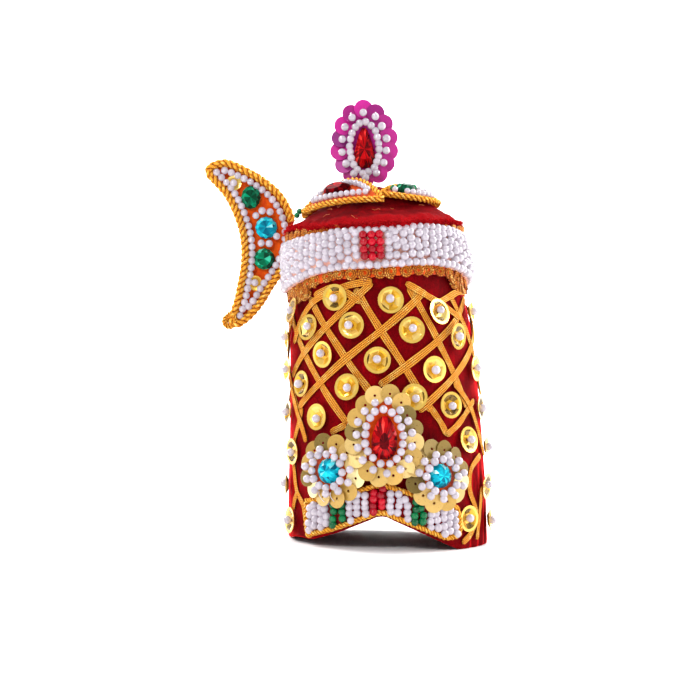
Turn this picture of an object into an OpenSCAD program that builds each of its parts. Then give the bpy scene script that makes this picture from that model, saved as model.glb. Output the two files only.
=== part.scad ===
// A velvet deity crown: a red tube with a notched front hem, a domed cap, a pearl band, gold
// lattice with cup sequins, three jewelled flowers, a beaded front panel, a side crescent
// and a ring of leaves round an upright plume. Millimetres, hem on z = 0, front faces -Y.

/* [Body] */
// Outside radius of the tube at the hem
hem_radius = 34.2; // [32:0.1:36]
// Outside radius of the tube under the cap
top_radius = 28.4; // [27:0.1:29]
// Thickness of the velvet and its lining
wall_thickness = 2; // [1.5:0.1:3]
// Sideways lean of the tube at its top, towards the crescent
body_lean = 7; // [0:0.1:9]
// Height of the notch in the front hem
notch_height = 10.8; // [0:0.1:14]
// Half the angle that the front notch spans
notch_half_angle = 49; // [35:1:52]
// Height of the arch in the back hem
back_arch_height = 6; // [0:0.5:10]
// Lift of the hem at the front corner on the crescent's side
corner_lift = 1.8; // [0:0.1:3]
// Depth of the soft folds near the hem
fold_depth = 0.5; // [0:0.1:0.8]

/* [Cap] */
// Radius of the cap at its raw edge
cap_radius = 28.6; // [28:0.1:29.5]
// Rise of the dome above its edge
cap_rise = 14.9; // [12:0.1:16]
// Tilt of the cap, crescent side lower
cap_roll = 5; // [3:0.5:8]
// Thickness of the cap cloth
cap_thickness = 1.6; // [1.2:0.1:2.5]

/* [Pearl band and lace] */
// How far the pearls of the band stand out from the tube
band_depth = 3.2; // [2.6:0.1:3.6]
// Height of the scalloped lace below the band
lace_height = 3.6; // [2:0.1:5]
// Number of scallops round the lace
scallops = 36; // [24:1:48]
// Width of the red bead patch in the band
patch_width = 8.4; // [6:0.1:12]

/* [Lattice] */
// Width of the gold braid of the lattice
lattice_width = 2.3; // [1.6:0.1:2.8]
// Thickness of that braid
lattice_thickness = 0.6; // [0.4:0.1:0.8]
// Width of a cup sequin
cup_diameter = 8.6; // [7:0.1:9]
// Depth of a cup sequin
cup_depth = 1.5; // [1:0.1:2]
// Width of the pearl sewn on a cup sequin
cup_pearl_diameter = 2.7; // [2:0.1:3]

/* [Flowers] */
// Width of the flat sequins of the flowers and the plume
flat_sequin_diameter = 6.3; // [5:0.1:7]
// Thickness of a flat sequin
flat_sequin_thickness = 0.5; // [0.4:0.05:0.8]
// Width of the pearls in the flowers, the plume and the crescent
pearl_diameter = 2.5; // [2.2:0.1:2.6]
// Thickness of the felt pad under a flower
flower_felt_thickness = 2.2; // [1:0.1:2.5]

/* [Front panel] */
// Height of the beaded panel above the notched hem
panel_height = 11; // [8:0.5:12]
// Width of the gold braid along the panel
panel_braid_width = 1.8; // [1.2:0.1:2.4]
// Thickness of the beads on the panel
panel_bead_thickness = 2.2; // [1.6:0.1:2.6]

/* [Crescent] */
// Thickness of the crescent's felt
crescent_felt_thickness = 1.6; // [1.2:0.1:2.5]
// Width of the twisted gold braid round it
crescent_braid_width = 2.2; // [1.6:0.1:2.8]
// Distance of the crescent behind the middle of the crown
crescent_back = 14; // [13:0.5:18]

/* [Leaves and plume] */
// Thickness of the leaves' felt
leaf_felt_thickness = 1.2; // [1:0.1:1.6]
// Width of a leaf
leaf_width = 12; // [10:0.5:13]
// Height of the plume
plume_height = 28; // [24:0.5:32]
// Lean of the plume
plume_lean = 3; // [0:0.5:8]

/* [Hidden] */

// Space kept between one piece and the next
seam = 0.1;
velvet = [0.62, 0.02, 0.08];
gold = [0.9, 0.66, 0.2];
pearl = [0.93, 0.9, 0.94];
felt = [0.93, 0.35, 0.05];
red_glass = [0.75, 0.02, 0.08];
green_glass = [0.0, 0.5, 0.36];
aqua_glass = [0.05, 0.75, 0.88];
pink = [0.86, 0.16, 0.66];

// The tube leans more and more towards the crescent as it rises
lean_shape = [[0, 0], [0.2, 0.11], [0.38, 0.24], [0.53, 0.36], [0.72, 0.59], [0.82, 0.76],
              [1, 1], [1.3, 1.2]];
function centre_x(z) = -body_lean * lookup(z / 100, lean_shape);
// The tube tapers slowly at first and faster near the top
taper_shape = [[0, 0], [0.2, 0.07], [0.38, 0.22], [0.53, 0.38], [0.62, 0.45], [0.72, 0.57],
               [0.82, 0.79], [1, 1]];
function tube_radius(z) = hem_radius - (hem_radius - top_radius) * lookup(z / 100, taper_shape);
// Soft folds fade out towards the top
function fold(a, z) = -fold_depth * (0.5 - 0.5 * cos(3 * a + 40)) * max(0, 1 - z / 70);
function on_tube(a, z, out) =
    let (r = tube_radius(z) + out + fold(a, z))
    [centre_x(z) + r * sin(a), -r * cos(a), z];

// Height of the hem: a notch with a round peak in front, a low arch behind, feet at the sides
notch_shape = [[0, 1], [0.06, 0.98], [0.14, 0.88], [0.42, 0.57], [0.7, 0.27], [0.88, 0.08],
               [1, 0]];
function hem(a) =
    let (w = a > 180 ? a - 360 : a, front = abs(w + 4) / notch_half_angle,
         back = (180 - abs(w)) / 55)
    (front < 1 ? notch_height * lookup(front, notch_shape)
     : back < 1 ? back_arch_height * (0.5 + 0.5 * cos(180 * back)) : 0)
    + (abs(w + 60) < 36 ? corner_lift * (0.5 + 0.5 * cos(5 * (w + 60))) : 0);

// Lower and upper edge of the pearl band by angle, front at 0
band_edges = [[-180, 84, 101], [-140, 83, 100], [-90, 82.5, 99.2], [-68, 84, 100],
              [-45, 87.6, 101.6], [-25, 89.8, 103.6], [0, 90.3, 104.4], [20, 91.7, 105.5],
              [40, 92.4, 106.4], [60, 91, 105.5], [90, 87.5, 102.8], [130, 85, 101.6],
              [180, 84, 101]];
band_low = [for (row = band_edges) [row[0], row[1]]];
band_high = [for (row = band_edges) [row[0], row[2]]];
function signed(a) = a > 180 ? a - 360 : a < -180 ? a + 360 : a;
function softened(a, edge) =
    (lookup(signed(a - 12), edge) + 2 * lookup(signed(a), edge)
     + lookup(signed(a + 12), edge)) / 4;

// A wall between two grids of points, stations along it and levels up it
module wall(outer, inner, ring = true) {
    n = len(outer);
    m = len(outer[0]);
    last = ring ? n : n - 1;
    points = concat([for (s = outer) for (p = s) p], [for (s = inner) for (p = s) p]);
    function o(i, j) = (i % n) * m + j;
    function k(i, j) = n * m + (i % n) * m + j;
    outside = [for (i = [0:last - 1]) for (j = [0:m - 2]) each
        [[o(i, j), o(i, j + 1), o(i + 1, j + 1)], [o(i, j), o(i + 1, j + 1), o(i + 1, j)]]];
    inside = [for (i = [0:last - 1]) for (j = [0:m - 2]) each
        [[k(i, j), k(i + 1, j + 1), k(i, j + 1)], [k(i, j), k(i + 1, j), k(i + 1, j + 1)]]];
    bottom = [for (i = [0:last - 1]) each
        [[o(i, 0), o(i + 1, 0), k(i + 1, 0)], [o(i, 0), k(i + 1, 0), k(i, 0)]]];
    top = [for (i = [0:last - 1]) each
        [[o(i, m - 1), k(i + 1, m - 1), o(i + 1, m - 1)],
         [o(i, m - 1), k(i, m - 1), k(i + 1, m - 1)]]];
    start = ring ? [] : [for (j = [0:m - 2]) each
        [[o(0, j), k(0, j), k(0, j + 1)], [o(0, j), k(0, j + 1), o(0, j + 1)]]];
    finish = ring ? [] : [for (j = [0:m - 2]) each
        [[o(n - 1, j), k(n - 1, j + 1), k(n - 1, j)],
         [o(n - 1, j), o(n - 1, j + 1), k(n - 1, j + 1)]]];
    polyhedron(points, concat(outside, inside, bottom, top, start, finish));
}

// A point list rounded by a smooth curve through its points
function curve_point(p, q, r, s, t) =
    0.5 * ((2 * q) + (r - p) * t + (2 * p - 5 * q + 4 * r - s) * t * t
           + (3 * q - p - 3 * r + s) * t * t * t);
function smooth(pts, parts) =
    let (n = len(pts))
    concat([for (i = [0:n - 2]) for (k = [0:parts - 1])
        curve_point(pts[max(0, i - 1)], pts[i], pts[i + 1], pts[min(n - 1, i + 2)], k / parts)],
        [pts[n - 1]]);

// Points spaced evenly along a path
function leg(path, i) = norm(path[i + 1] - path[i]);
function travelled(path, i) = i <= 0 ? 0 : travelled(path, i - 1) + leg(path, i - 1);
function walk(path, d, i = 0) =
    i >= len(path) - 2 || d <= leg(path, i)
        ? path[i] + (path[i + 1] - path[i]) * min(1, d / leg(path, i))
        : walk(path, d - leg(path, i), i + 1);
function spaced(path, n) =
    let (whole = travelled(path, len(path) - 1))
    [for (i = [0:n - 1]) walk(path, whole * i / (n - 1))];
function oval(i, n, rx, rz, narrow) =
    let (t = 360 * i / n) [rx * sin(t) * (1 - narrow * cos(t)), rz * cos(t)];
// n points spaced evenly round an oval, turned by a share of the spacing
function oval_ring(n, rx, rz, narrow, turn) =
    let (path = spaced([for (i = [0:48]) oval(i + 48 * turn / n, 48, rx, rz, narrow)], n + 1))
    [for (i = [0:n - 1]) path[i]];

// Stands what follows on the tube, its z axis straight out of the sloping cloth
function slope_at(a, z) = (tube_radius(z + 3) - tube_radius(z - 3)
                           + (centre_x(z + 3) - centre_x(z - 3)) * sin(a)) / 6;
module face_out(a, z, out) {
    translate(on_tube(a, z, out)) rotate([0, 0, a]) rotate([90 + atan(slope_at(a, z)), 0, 0])
        children();
}

// Part of a wall that lies on the tube, between two offsets, between two angles
module band_wall(a0, a1, steps, levels, low, high, from, to, ring) {
    count = ring ? steps : steps + 1;
    angles = [for (i = [0:count - 1]) a0 + (a1 - a0) * i / steps];
    wall([for (i = [0:count - 1]) [for (j = [0:levels])
            on_tube(angles[i], low[i] + (high[i] - low[i]) * j / levels, to)]],
         [for (i = [0:count - 1]) [for (j = [0:levels])
            on_tube(angles[i], low[i] + (high[i] - low[i]) * j / levels, from)]], ring);
}

// Stones and beads, with the flat back on z = 0
module round_stone(d, h) {
    cylinder(d = d, h = h * 0.35, $fn = 12);
    translate([0, 0, h * 0.35]) cylinder(d1 = d, d2 = d * 0.55, h = h * 0.65, $fn = 12);
}
module oval_stone(l, w, h) {
    scale([1, w / l, 1]) {
        cylinder(d = l, h = h * 0.35, $fn = 12);
        translate([0, 0, h * 0.35]) cylinder(d1 = l, d2 = l * 0.55, h = h * 0.65, $fn = 12);
    }
}
// Half outlines of long stones, narrow end up: share of the length, share of the width
pear_shape = [[0, 0], [0.02, 0.4], [0.12, 0.92], [0.3, 1], [0.48, 0.86], [0.66, 0.68],
              [0.86, 0.44], [1, 0.16]];
lens_shape = [[0, 0], [0.02, 0.36], [0.12, 0.76], [0.3, 1], [0.5, 0.98], [0.7, 0.82],
              [0.88, 0.56], [1, 0.26]];
function drop_ring(shape, l, w, s) = concat(
    [for (p = shape) [p[1] * w / 2 * s, (p[0] - 0.44) * l * s]],
    [for (i = [len(shape) - 1:-1:1]) [-shape[i][1] * w / 2 * s, (shape[i][0] - 0.44) * l * s]]);
module drop_stone(shape, l, w, h) {
    low = drop_ring(shape, l, w, 1);
    high = drop_ring(shape, l, w, 0.58);
    n = len(low);
    points = concat([for (p = low) [p[0], p[1], 0]], [for (p = low) [p[0], p[1], h * 0.35]],
                    [for (p = high) [p[0], p[1], h]]);
    sides = [for (r = [0:1]) for (i = [0:n - 1]) each
        [[r * n + i, (r + 1) * n + i, (r + 1) * n + (i + 1) % n],
         [r * n + i, (r + 1) * n + (i + 1) % n, r * n + (i + 1) % n]]];
    polyhedron(points, concat(sides, [[for (i = [0:n - 1]) i]],
                              [[for (i = [n - 1:-1:0]) 2 * n + i]]));
}
module loose_beads(points, d) for (p = points) translate(p) sphere(d = d, $fn = 24);

tube_steps = 60;
tube_levels = 12;
// Space between the tube's top and the cap
cap_gap = 0.35;
module crown_body() color(velvet) {
    low = [for (i = [0:tube_steps - 1]) hem(360 * i / tube_steps)];
    high = [for (i = [0:tube_steps - 1]) let (p = on_tube(360 * i / tube_steps, 105, 0))
        cap_centre[2] + cap_tilt(p[0]) - cap_gap];
    band_wall(0, 360, tube_steps, tube_levels, low, high, -wall_thickness, 0, true);
}

// The cap lies tilted on the tube, its dome almost a cone with a rounded top
cap_centre = [-7.8, 0, 105.2];
function cap_tilt(x) = (x - cap_centre[0]) * tan(cap_roll);
cap_profile = [0, 0.3, 0.52, 0.7, 0.83, 0.92, 0.975, 1];
function dome(s) = pow(max(0, 1 - pow(s, 1.2)), 0.72);
function cap_point(a, s, off) =
    let (r = (cap_radius + off) * s, x = cap_centre[0] + r * sin(a))
    [x, -r * cos(a), cap_centre[2] + cap_tilt(x) + (cap_rise + off) * dome(s)];
module cap_shell() {
    rings = [for (s = cap_profile) if (s > 0) s];
    steps = 40;
    m = len(rings);
    skin = [for (side = [0:1]) for (i = [0:steps - 1]) for (j = [0:m - 1])
        cap_point(360 * i / steps, rings[j], -side * cap_thickness)];
    peaks = [cap_point(0, 0, 0), cap_point(0, 0, -cap_thickness)];
    function at(side, i, j) = side * steps * m + (i % steps) * m + j;
    outside = [for (i = [0:steps - 1]) for (j = [0:m - 2]) each
        [[at(0, i, j), at(0, i + 1, j + 1), at(0, i, j + 1)],
         [at(0, i, j), at(0, i + 1, j), at(0, i + 1, j + 1)]]];
    inside = [for (i = [0:steps - 1]) for (j = [0:m - 2]) each
        [[at(1, i, j), at(1, i, j + 1), at(1, i + 1, j + 1)],
         [at(1, i, j), at(1, i + 1, j + 1), at(1, i + 1, j)]]];
    ends = [for (i = [0:steps - 1]) each
        [[2 * steps * m, at(0, i + 1, 0), at(0, i, 0)],
         [2 * steps * m + 1, at(1, i, 0), at(1, i + 1, 0)],
         [at(0, i, m - 1), at(0, i + 1, m - 1), at(1, i + 1, m - 1)],
         [at(0, i, m - 1), at(1, i + 1, m - 1), at(1, i, m - 1)]]];
    polyhedron(concat(skin, peaks), concat(outside, inside, ends));
}
module velvet_cap() color(velvet) cap_shell();

band_steps = 60;
band_from = 0.4;
module band_ring() {
    angles = [for (i = [0:band_steps - 1]) 360 * i / band_steps];
    band_wall(0, 360, band_steps, 3, [for (a = angles) softened(a, band_low)],
              [for (a = angles) softened(a, band_high)], band_from, band_depth, true);
}
// Place of the red bead patch: angle of its middle and the heights that it spans
patch_angle = -4;
patch_aside = -6;
patch_low = 94.5;
patch_high = 102;
patch_front = -50;
patch_reach = 40;
module patch_block(grow) {
    rotate([0, 0, patch_angle])
        translate([patch_aside - patch_width / 2 - grow, patch_front, patch_low - grow])
            cube([patch_width + 2 * grow, patch_reach, patch_high - patch_low + 2 * grow]);
}
module pearl_band() color(pearl) difference() {
    band_ring();
    patch_block(seam);
}
module red_patch() color(red_glass) intersection() {
    band_ring();
    patch_block(0);
}

lace_steps = scallops * 3;
module lace_below_band() color(gold) {
    angles = [for (i = [0:lace_steps - 1]) 360 * i / lace_steps];
    band_wall(0, 360, lace_steps, 1,
              [for (a = angles) softened(a, band_low) - lace_height
                  + 1.2 * abs(cos(a * scallops / 2))],
              [for (a = angles) softened(a, band_low) - seam], 0.3, 0.9, true);
}
module lace_above_band() color(gold) {
    angles = [for (i = [0:lace_steps - 1]) 360 * i / lace_steps];
    band_wall(0, 360, lace_steps, 1, [for (a = angles) softened(a, band_high) + seam],
              [for (a = angles) softened(a, band_high) + 2 + 0.9 * abs(cos(a * scallops / 2))],
              2, 3, true);
}

// Strands of the lattice: angle and height at the top, angle and height at the bottom
falling_strands = [[-74, 76, -25, 42], [-49, 81, -8, 50], [-15, 84, 26, 45], [19, 85, 55, 46],
                   [52, 83, 92, 45], [86, 78, 146, 42], [119, 75, 172, 42], [152, 75, 205, 42],
                   [185, 75, 238, 42], [218, 75, 271, 42], [251, 75, 300, 42]];
rising_strands = [[-4, 86, -71, 55], [30, 84, -60, 45], [72, 82.5, -4, 53], [100, 80, 18, 45],
                  [133, 75, 76, 42], [166, 75, 113, 42], [199, 75, 146, 42],
                  [232, 75, 179, 42], [265, 75, 212, 42], [288, 74, 245, 42]];
strand_from = 0.2;
// Length along the tube of one degree round it
mm_per_degree = 0.56;
module strand(row, from, to) {
    steps = 10;
    run = (row[2] - row[0]) * mm_per_degree;
    drop = row[3] - row[1];
    half = lattice_width / 2 / sqrt(run * run + drop * drop);
    function edge(t, side, out) =
        on_tube(row[0] + (row[2] - row[0]) * t - side * drop * half / mm_per_degree,
                row[1] + drop * t + side * run * half, out);
    flip = run > 0 ? 1 : -1;
    wall([for (i = [0:steps]) [edge(flip > 0 ? i / steps : 1 - i / steps, -flip, to),
                               edge(flip > 0 ? i / steps : 1 - i / steps, flip, to)]],
         [for (i = [0:steps]) [edge(flip > 0 ? i / steps : 1 - i / steps, -flip, from),
                               edge(flip > 0 ? i / steps : 1 - i / steps, flip, from)]], false);
}
module gold_lattice() color(gold) {
    for (row = falling_strands) strand(row, strand_from, lattice_thickness);
    for (row = rising_strands) strand(row, strand_from + 0.2, lattice_thickness + 0.2);
}

// Cup sequins: angle, height, and 1 where it sits on a strand or the lace
cup_places = [[-65, 76.5, 1], [-28, 81, 0], [6, 80.5, 0], [37, 77, 0], [72, 78, 1],
              [-73, 67.5, 1], [-49, 71, 0], [-18, 72, 0], [17, 71, 0], [48, 69.5, 1],
              [-73, 57, 1], [-37, 62.5, 0], [-4, 61, 0], [29, 58.5, 0], [68, 59, 0],
              [-56, 52.5, 0], [-22, 52, 0], [17.5, 49.5, 1], [39, 47, 0], [-42, 42, 0],
              [52, 35.5, 0], [49, 10, 0], [-76, 42.5, 0], [-66, 30, 0], [-77, 18.5, 0],
              [-69, 7, 0], [71, 46, 0], [80, 33, 0], [72, 20, 0], [78, 8.5, 0],
              [109, 70.5, 0], [142, 70.5, 0], [175, 70.5, 0], [208, 70.5, 0], [241, 70.5, 0],
              [125, 61, 0], [158, 61, 0], [191, 61, 0], [224, 61, 0]];
function cup_base(row) = row[2] > 0 ? lattice_thickness + 0.4 : 0.15;
module cup_sequins() color(gold) for (row = cup_places) face_out(row[0], row[1], cup_base(row))
    difference() {
        cylinder(d1 = cup_diameter * 0.62, d2 = cup_diameter, h = cup_depth, $fn = 32);
        translate([0, 0, 0.4])
            cylinder(d1 = cup_diameter * 0.56, d2 = cup_diameter * 0.97, h = cup_depth, $fn = 32);
    }
module cup_pearls() color(pearl) for (row = cup_places)
    face_out(row[0], row[1], cup_base(row) + 0.4 + seam + cup_pearl_diameter / 2)
        sphere(d = cup_pearl_diameter, $fn = 24);

// The panel follows the notch; its stripes run across it from left to right
panel_start = -49;
panel_end = 40;
panel_steps = 40;
function panel_bottom(a) = hem(a < 0 ? a + 360 : a) + 1;
function panel_top(a) = hem(a < 0 ? a + 360 : a) * 0.75 + panel_height + 2.5;
module panel_strip(a0, a1, steps, low, high, from, to) {
    angles = [for (i = [0:steps]) a0 + (a1 - a0) * i / steps];
    band_wall(a0, a1, steps, 1, [for (a = angles) low < 0 ? panel_top(a) + low
                                     : panel_bottom(a) + low],
              [for (a = angles) high <= 0 ? panel_top(a) + high : panel_bottom(a) + high],
              from, to, false);
}
module panel_backing() color(velvet)
    panel_strip(panel_start, panel_end, panel_steps, 0, 0, seam, 1);
panel_bead_from = 1 + seam;
module panel_braid() color(gold) {
    panel_strip(panel_start, panel_end, panel_steps, -panel_braid_width, 0, panel_bead_from,
                panel_bead_from + 1.4);
    panel_strip(panel_start, panel_end, panel_steps, 0, panel_braid_width * 0.7,
                panel_bead_from, panel_bead_from + 1);
}
// Stripes: first angle, last angle, colour word
stripes = [[-48.2, -32.4, "white"], [-32.4, -22.8, "green"], [-22.8, -10.4, "white"],
           [-10.4, -1.4, "red"], [-1.4, 11, "white"], [11, 20, "green"], [20, 39, "white"]];
module stripe_beads(word) for (row = stripes) if (row[2] == word)
    panel_strip(row[0] + 0.2, row[1] - 0.2, 6, panel_braid_width * 0.7 + seam,
                -panel_braid_width - seam, panel_bead_from,
                panel_bead_from + panel_bead_thickness);
module panel_beads_white() color(pearl) stripe_beads("white");
module panel_beads_green() color(green_glass) stripe_beads("green");
module panel_beads_red() color(red_glass) stripe_beads("red");

// Flowers: a felt pad, a ring of flat sequins, two rings of pearls and a stone.
// Each ring is an oval, a little narrower towards its top
// Each row: angle, height, half width and half height of the sequin ring, sequins,
// inner pearls, outer pearls, extra height of its pad
flower_centre = [-1.7, 36.8, 9.2, 13, 16, 14, 14, 0.9];
flower_left = [-30.4, 25, 9, 8.7, 12, 10, 10, 0];
flower_right = [26.3, 24.4, 8.9, 8.7, 12, 10, 10, 0];
felt_from = lattice_thickness + 0.5;
petal_from = felt_from + flower_felt_thickness + 0.3;
pearls_from = petal_from + 2 * flat_sequin_thickness + 0.2;
// How far the outer pearls lie inside the middle of the sequins, across and up
outer_inset = [1.1, 1.5];
function flower_angle(f, x) = f[0] + x / (tube_radius(f[1]) + 3) * 180 / PI;
// A conical shell that follows the leaning tube near one height
shell_reach = 20;
module tube_shell(z, from, to) {
    lean = atan((centre_x(z + shell_reach) - centre_x(z - shell_reach)) / (2 * shell_reach));
    translate([centre_x(z), 0, z]) rotate([0, lean, 0]) translate([0, 0, -shell_reach])
        difference() {
            cylinder(h = 2 * shell_reach, r1 = tube_radius(z - shell_reach) + to,
                     r2 = tube_radius(z + shell_reach) + to, $fn = 96);
            translate([0, 0, -1])
                cylinder(h = 2 * shell_reach + 2, $fn = 96,
                         r1 = tube_radius(z - shell_reach) + from,
                         r2 = tube_radius(z + shell_reach) + from);
        }
}
module flower_felt(f) intersection() {
    tube_shell(f[1], felt_from, felt_from + flower_felt_thickness + f[7]);
    face_out(f[0], f[1], -10) linear_extrude(40)
        polygon(oval_ring(32, f[2] - 1.5, f[3] - 1.5, 0, 0));
}
module flower_petals(f, narrow) intersection() {
    tube_shell(f[1], petal_from + f[7], petal_from + flat_sequin_thickness * 1.5 + f[7]);
    face_out(f[0], f[1], -10) linear_extrude(40) union() {
        for (p = oval_ring(f[4], f[2], f[3], narrow, 0.5)) translate(p)
            circle(d = flat_sequin_diameter, $fn = 24);
    }
}
module flower_pearl_ring(f, n, rx, rz, narrow, turn) loose_beads(
    [for (p = oval_ring(n, rx, rz, narrow, turn))
        on_tube(flower_angle(f, p[0]), f[1] + p[1],
                pearls_from + pearl_diameter / 2 + f[7])],
    pearl_diameter);
module flower_pearls(f, narrow, inner) {
    flower_pearl_ring(f, f[5], inner[0], inner[1], narrow, 0);
    flower_pearl_ring(f, f[6], f[2] - outer_inset[0], f[3] - outer_inset[1], narrow, 0.5);
}
module flower_stone_place(f) face_out(f[0], f[1], petal_from - 0.05 + f[7]) children();

module flower_centre_felt() color(felt) flower_felt(flower_centre);
module flower_centre_petals() color(gold) flower_petals(flower_centre, 0.12);
module flower_centre_pearls() color(pearl)
    flower_pearls(flower_centre, 0.06, [5.5, 8.7]);
module flower_centre_stone() color(red_glass)
    flower_stone_place(flower_centre) drop_stone(lens_shape, 13.8, 8.2, 4);
module flower_left_felt() color(felt) flower_felt(flower_left);
module flower_left_petals() color(gold) flower_petals(flower_left, 0);
module flower_left_pearls() color(pearl) flower_pearls(flower_left, 0, [5.4, 5.4]);
module flower_left_stone() color(aqua_glass)
    flower_stone_place(flower_left) round_stone(8.2, 3.4);
module flower_right_felt() color(felt) flower_felt(flower_right);
module flower_right_petals() color(gold) flower_petals(flower_right, 0);
module flower_right_pearls() color(pearl) flower_pearls(flower_right, 0, [5.4, 5.4]);
module flower_right_stone() color(aqua_glass)
    flower_stone_place(flower_right) round_stone(7.9, 3.4);

// The crescent, from its upper tip down: outer edge x, z, then the edge at the crown x, z
crescent_rows = [[-65.8, 123.4, -63.5, 127.8], [-62.5, 120.1, -58.5, 128.8],
                 [-59.4, 116.6, -52, 126.3], [-56.9, 112.4, -45, 122.4],
                 [-54.8, 107.5, -38.6, 116.5], [-53.3, 102.3, -34.8, 108.5],
                 [-52.7, 96.5, -34.6, 99.5], [-53, 91, -38, 91.5],
                 [-53.8, 86, -42, 84.8], [-54.8, 80.4, -45, 79.5],
                 [-56.2, 76, -49.5, 74], [-57.2, 73.2, -54, 70.9]];
crescent_left = smooth([for (row = crescent_rows) [row[0], row[1]]], 3);
crescent_right = smooth([for (row = crescent_rows) [row[2], row[3]]], 3);
module crescent_outline() polygon(concat(crescent_left,
    [for (i = [len(crescent_right) - 1:-1:0]) crescent_right[i]]));
// Drawn in x and z, then stood upright; its face looks to the front
module crescent_face(back) translate([0, crescent_back - back, 0]) rotate([90, 0, 0])
    children();
module clear_of_band() difference() {
    children();
    translate([centre_x(92), 0, 60]) cylinder(r = tube_radius(90) + band_depth + 0.9,
                                              h = 44, $fn = 72);
}
module crescent_felt() color(felt) clear_of_band() crescent_face(-crescent_felt_thickness)
    linear_extrude(crescent_felt_thickness) crescent_outline();
module crescent_braid() color(gold) clear_of_band() crescent_face(seam)
    linear_extrude(2) difference() {
        crescent_outline();
        offset(delta = -crescent_braid_width) crescent_outline();
    }
function inset(from, to, d) = from + (to - from) / norm(to - from) * d;
crescent_first = 3;
crescent_last = 26;
crescent_inset = crescent_braid_width + pearl_diameter / 2 + 0.6;
left_row = spaced([for (i = [crescent_first + 1:crescent_last])
                   inset(crescent_left[i], crescent_right[i], crescent_inset)], 14);
right_row = spaced([for (i = [crescent_first:crescent_last - 2])
                    inset(crescent_right[i], crescent_left[i], crescent_inset)], 16);
// Extra pearls in the middle of the crescent, x and z
middle_pearls = [[-47.3, 110.9], [-44.3, 111.4], [-46.2, 100.3], [-43.3, 100.3]];
// Stones and sequins on the crescent: x, z, width
crescent_upper = [-50.2, 116.2, 6.6];
crescent_middle = [-44.6, 105.8, 7.4];
crescent_lower = [-45, 94.9, 7.2];
crescent_sequin_places = [[-56.3, 121, 5.2], [-48, 86.6, 5.2]];
crescent_trims = concat([crescent_upper, crescent_middle, crescent_lower],
                        crescent_sequin_places);
function clear_of_trims(p) = min([for (t = crescent_trims)
    norm([p[0] - t[0], p[1] - t[1]]) - t[2] / 2]) > pearl_diameter / 2 + seam;
crescent_front = crescent_back - seam;
module crescent_pearls() color(pearl) loose_beads(
    [for (p = concat(left_row, right_row, middle_pearls)) if (clear_of_trims(p))
        [p[0], crescent_front - pearl_diameter / 2, p[1]]], pearl_diameter);
module on_crescent(x, z) translate([x, crescent_front, z]) rotate([90, 0, 0]) children();
module crescent_sequins() color(gold) for (p = crescent_sequin_places) on_crescent(p[0], p[1])
    difference() {
        cylinder(d1 = 3.2, d2 = p[2], h = 1.2, $fn = 32);
        translate([0, 0, 0.4]) cylinder(d1 = 2.8, d2 = p[2] - 0.3, h = 1.2, $fn = 32);
    }
module crescent_upper_stone() color(green_glass)
    on_crescent(crescent_upper[0], crescent_upper[1]) round_stone(crescent_upper[2], 3);
module crescent_middle_stone() color(aqua_glass)
    on_crescent(crescent_middle[0], crescent_middle[1]) round_stone(crescent_middle[2], 3.2);
module crescent_lower_stone() color(green_glass)
    on_crescent(crescent_lower[0], crescent_lower[1]) round_stone(crescent_lower[2], 3.2);

// Leaves: tip x, tip y, other tip x, other tip y, place of the stone along it, how far the
// side at the plume and the side at the rim bulge as shares of the width, degrees by which
// the side at the plume is lifted, length and width of the stone
leaf_rows = [[-32, -6, -5.6, -21.5, 0.47, 0.78, 0.26, 12, 11, 4.5],
             [-4.9, -16.2, 14, -4.4, 0.46, 0.5, 0.5, 0, 7.2, 3.5],
             [14, 4, -7, 20, 0.5, 0.5, 0.5, 0, 7.8, 3.9],
             [-9, 19, -32, 4, 0.5, 0.5, 0.5, 0, 7.8, 3.9]];
// Radius of the bow that each leaf makes along its length, over the cap
leaf_bow = 36;

function cap_height(x, y) =
    cap_centre[2] + cap_tilt(x)
    + cap_rise * dome(min(1, norm([x - cap_centre[0], y]) / cap_radius));
function slope_x(x, y) = (cap_height(x + 2, y) - cap_height(x - 2, y)) / 4;
function slope_y(x, y) = (cap_height(x, y + 2) - cap_height(x, y - 2)) / 4;
function unit(v) = v / norm(v);
module on_leaf(row, off) {
    x = (row[0] + row[2]) / 2;
    y = (row[1] + row[3]) / 2;
    n = unit([-slope_x(x, y), -slope_y(x, y), 1]);
    flat_run = [row[2] - row[0], row[3] - row[1], 0];
    u = unit(flat_run - n * (flat_run * n));
    side = cross(n, u);
    v = side * cos(row[7]) + n * sin(row[7]);
    face = n * cos(row[7]) - side * sin(row[7]);
    c = [x, y, cap_height(x, y)] + n * (0.7 + row[7] / 15) + face * off;
    multmatrix([[u[0], v[0], face[0], c[0]], [u[1], v[1], face[1], c[1]],
                [u[2], v[2], face[2], c[2]], [0, 0, 0, 1]]) children();
}
function leaf_length(row) = norm([row[2] - row[0], row[3] - row[1]]) * 1.04;
// Radius of the arc that bulges by b over a leaf of length l
function arc_radius(l, b) = (l * l / 4 + b * b) / (2 * b);
module leaf_outline(row, less) {
    l = leaf_length(row);
    inner = row[5] * leaf_width;
    outer = row[6] * leaf_width;
    intersection() {
        translate([0, inner - arc_radius(l, inner)])
            circle(arc_radius(l, inner) - less, $fn = 96);
        translate([0, arc_radius(l, outer) - outer])
            circle(arc_radius(l, outer) - less, $fn = 96);
    }
}
// Distance of the leaf's edge from its line of tips, at t from -1 to 1 along it
function leaf_side(row, side, t) =
    side * leaf_width * (side > 0 ? row[5] : row[6]) * (1 - t * t);
function leaf_centre(row) = leaf_width * (row[5] - row[6]) / 2;
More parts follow.
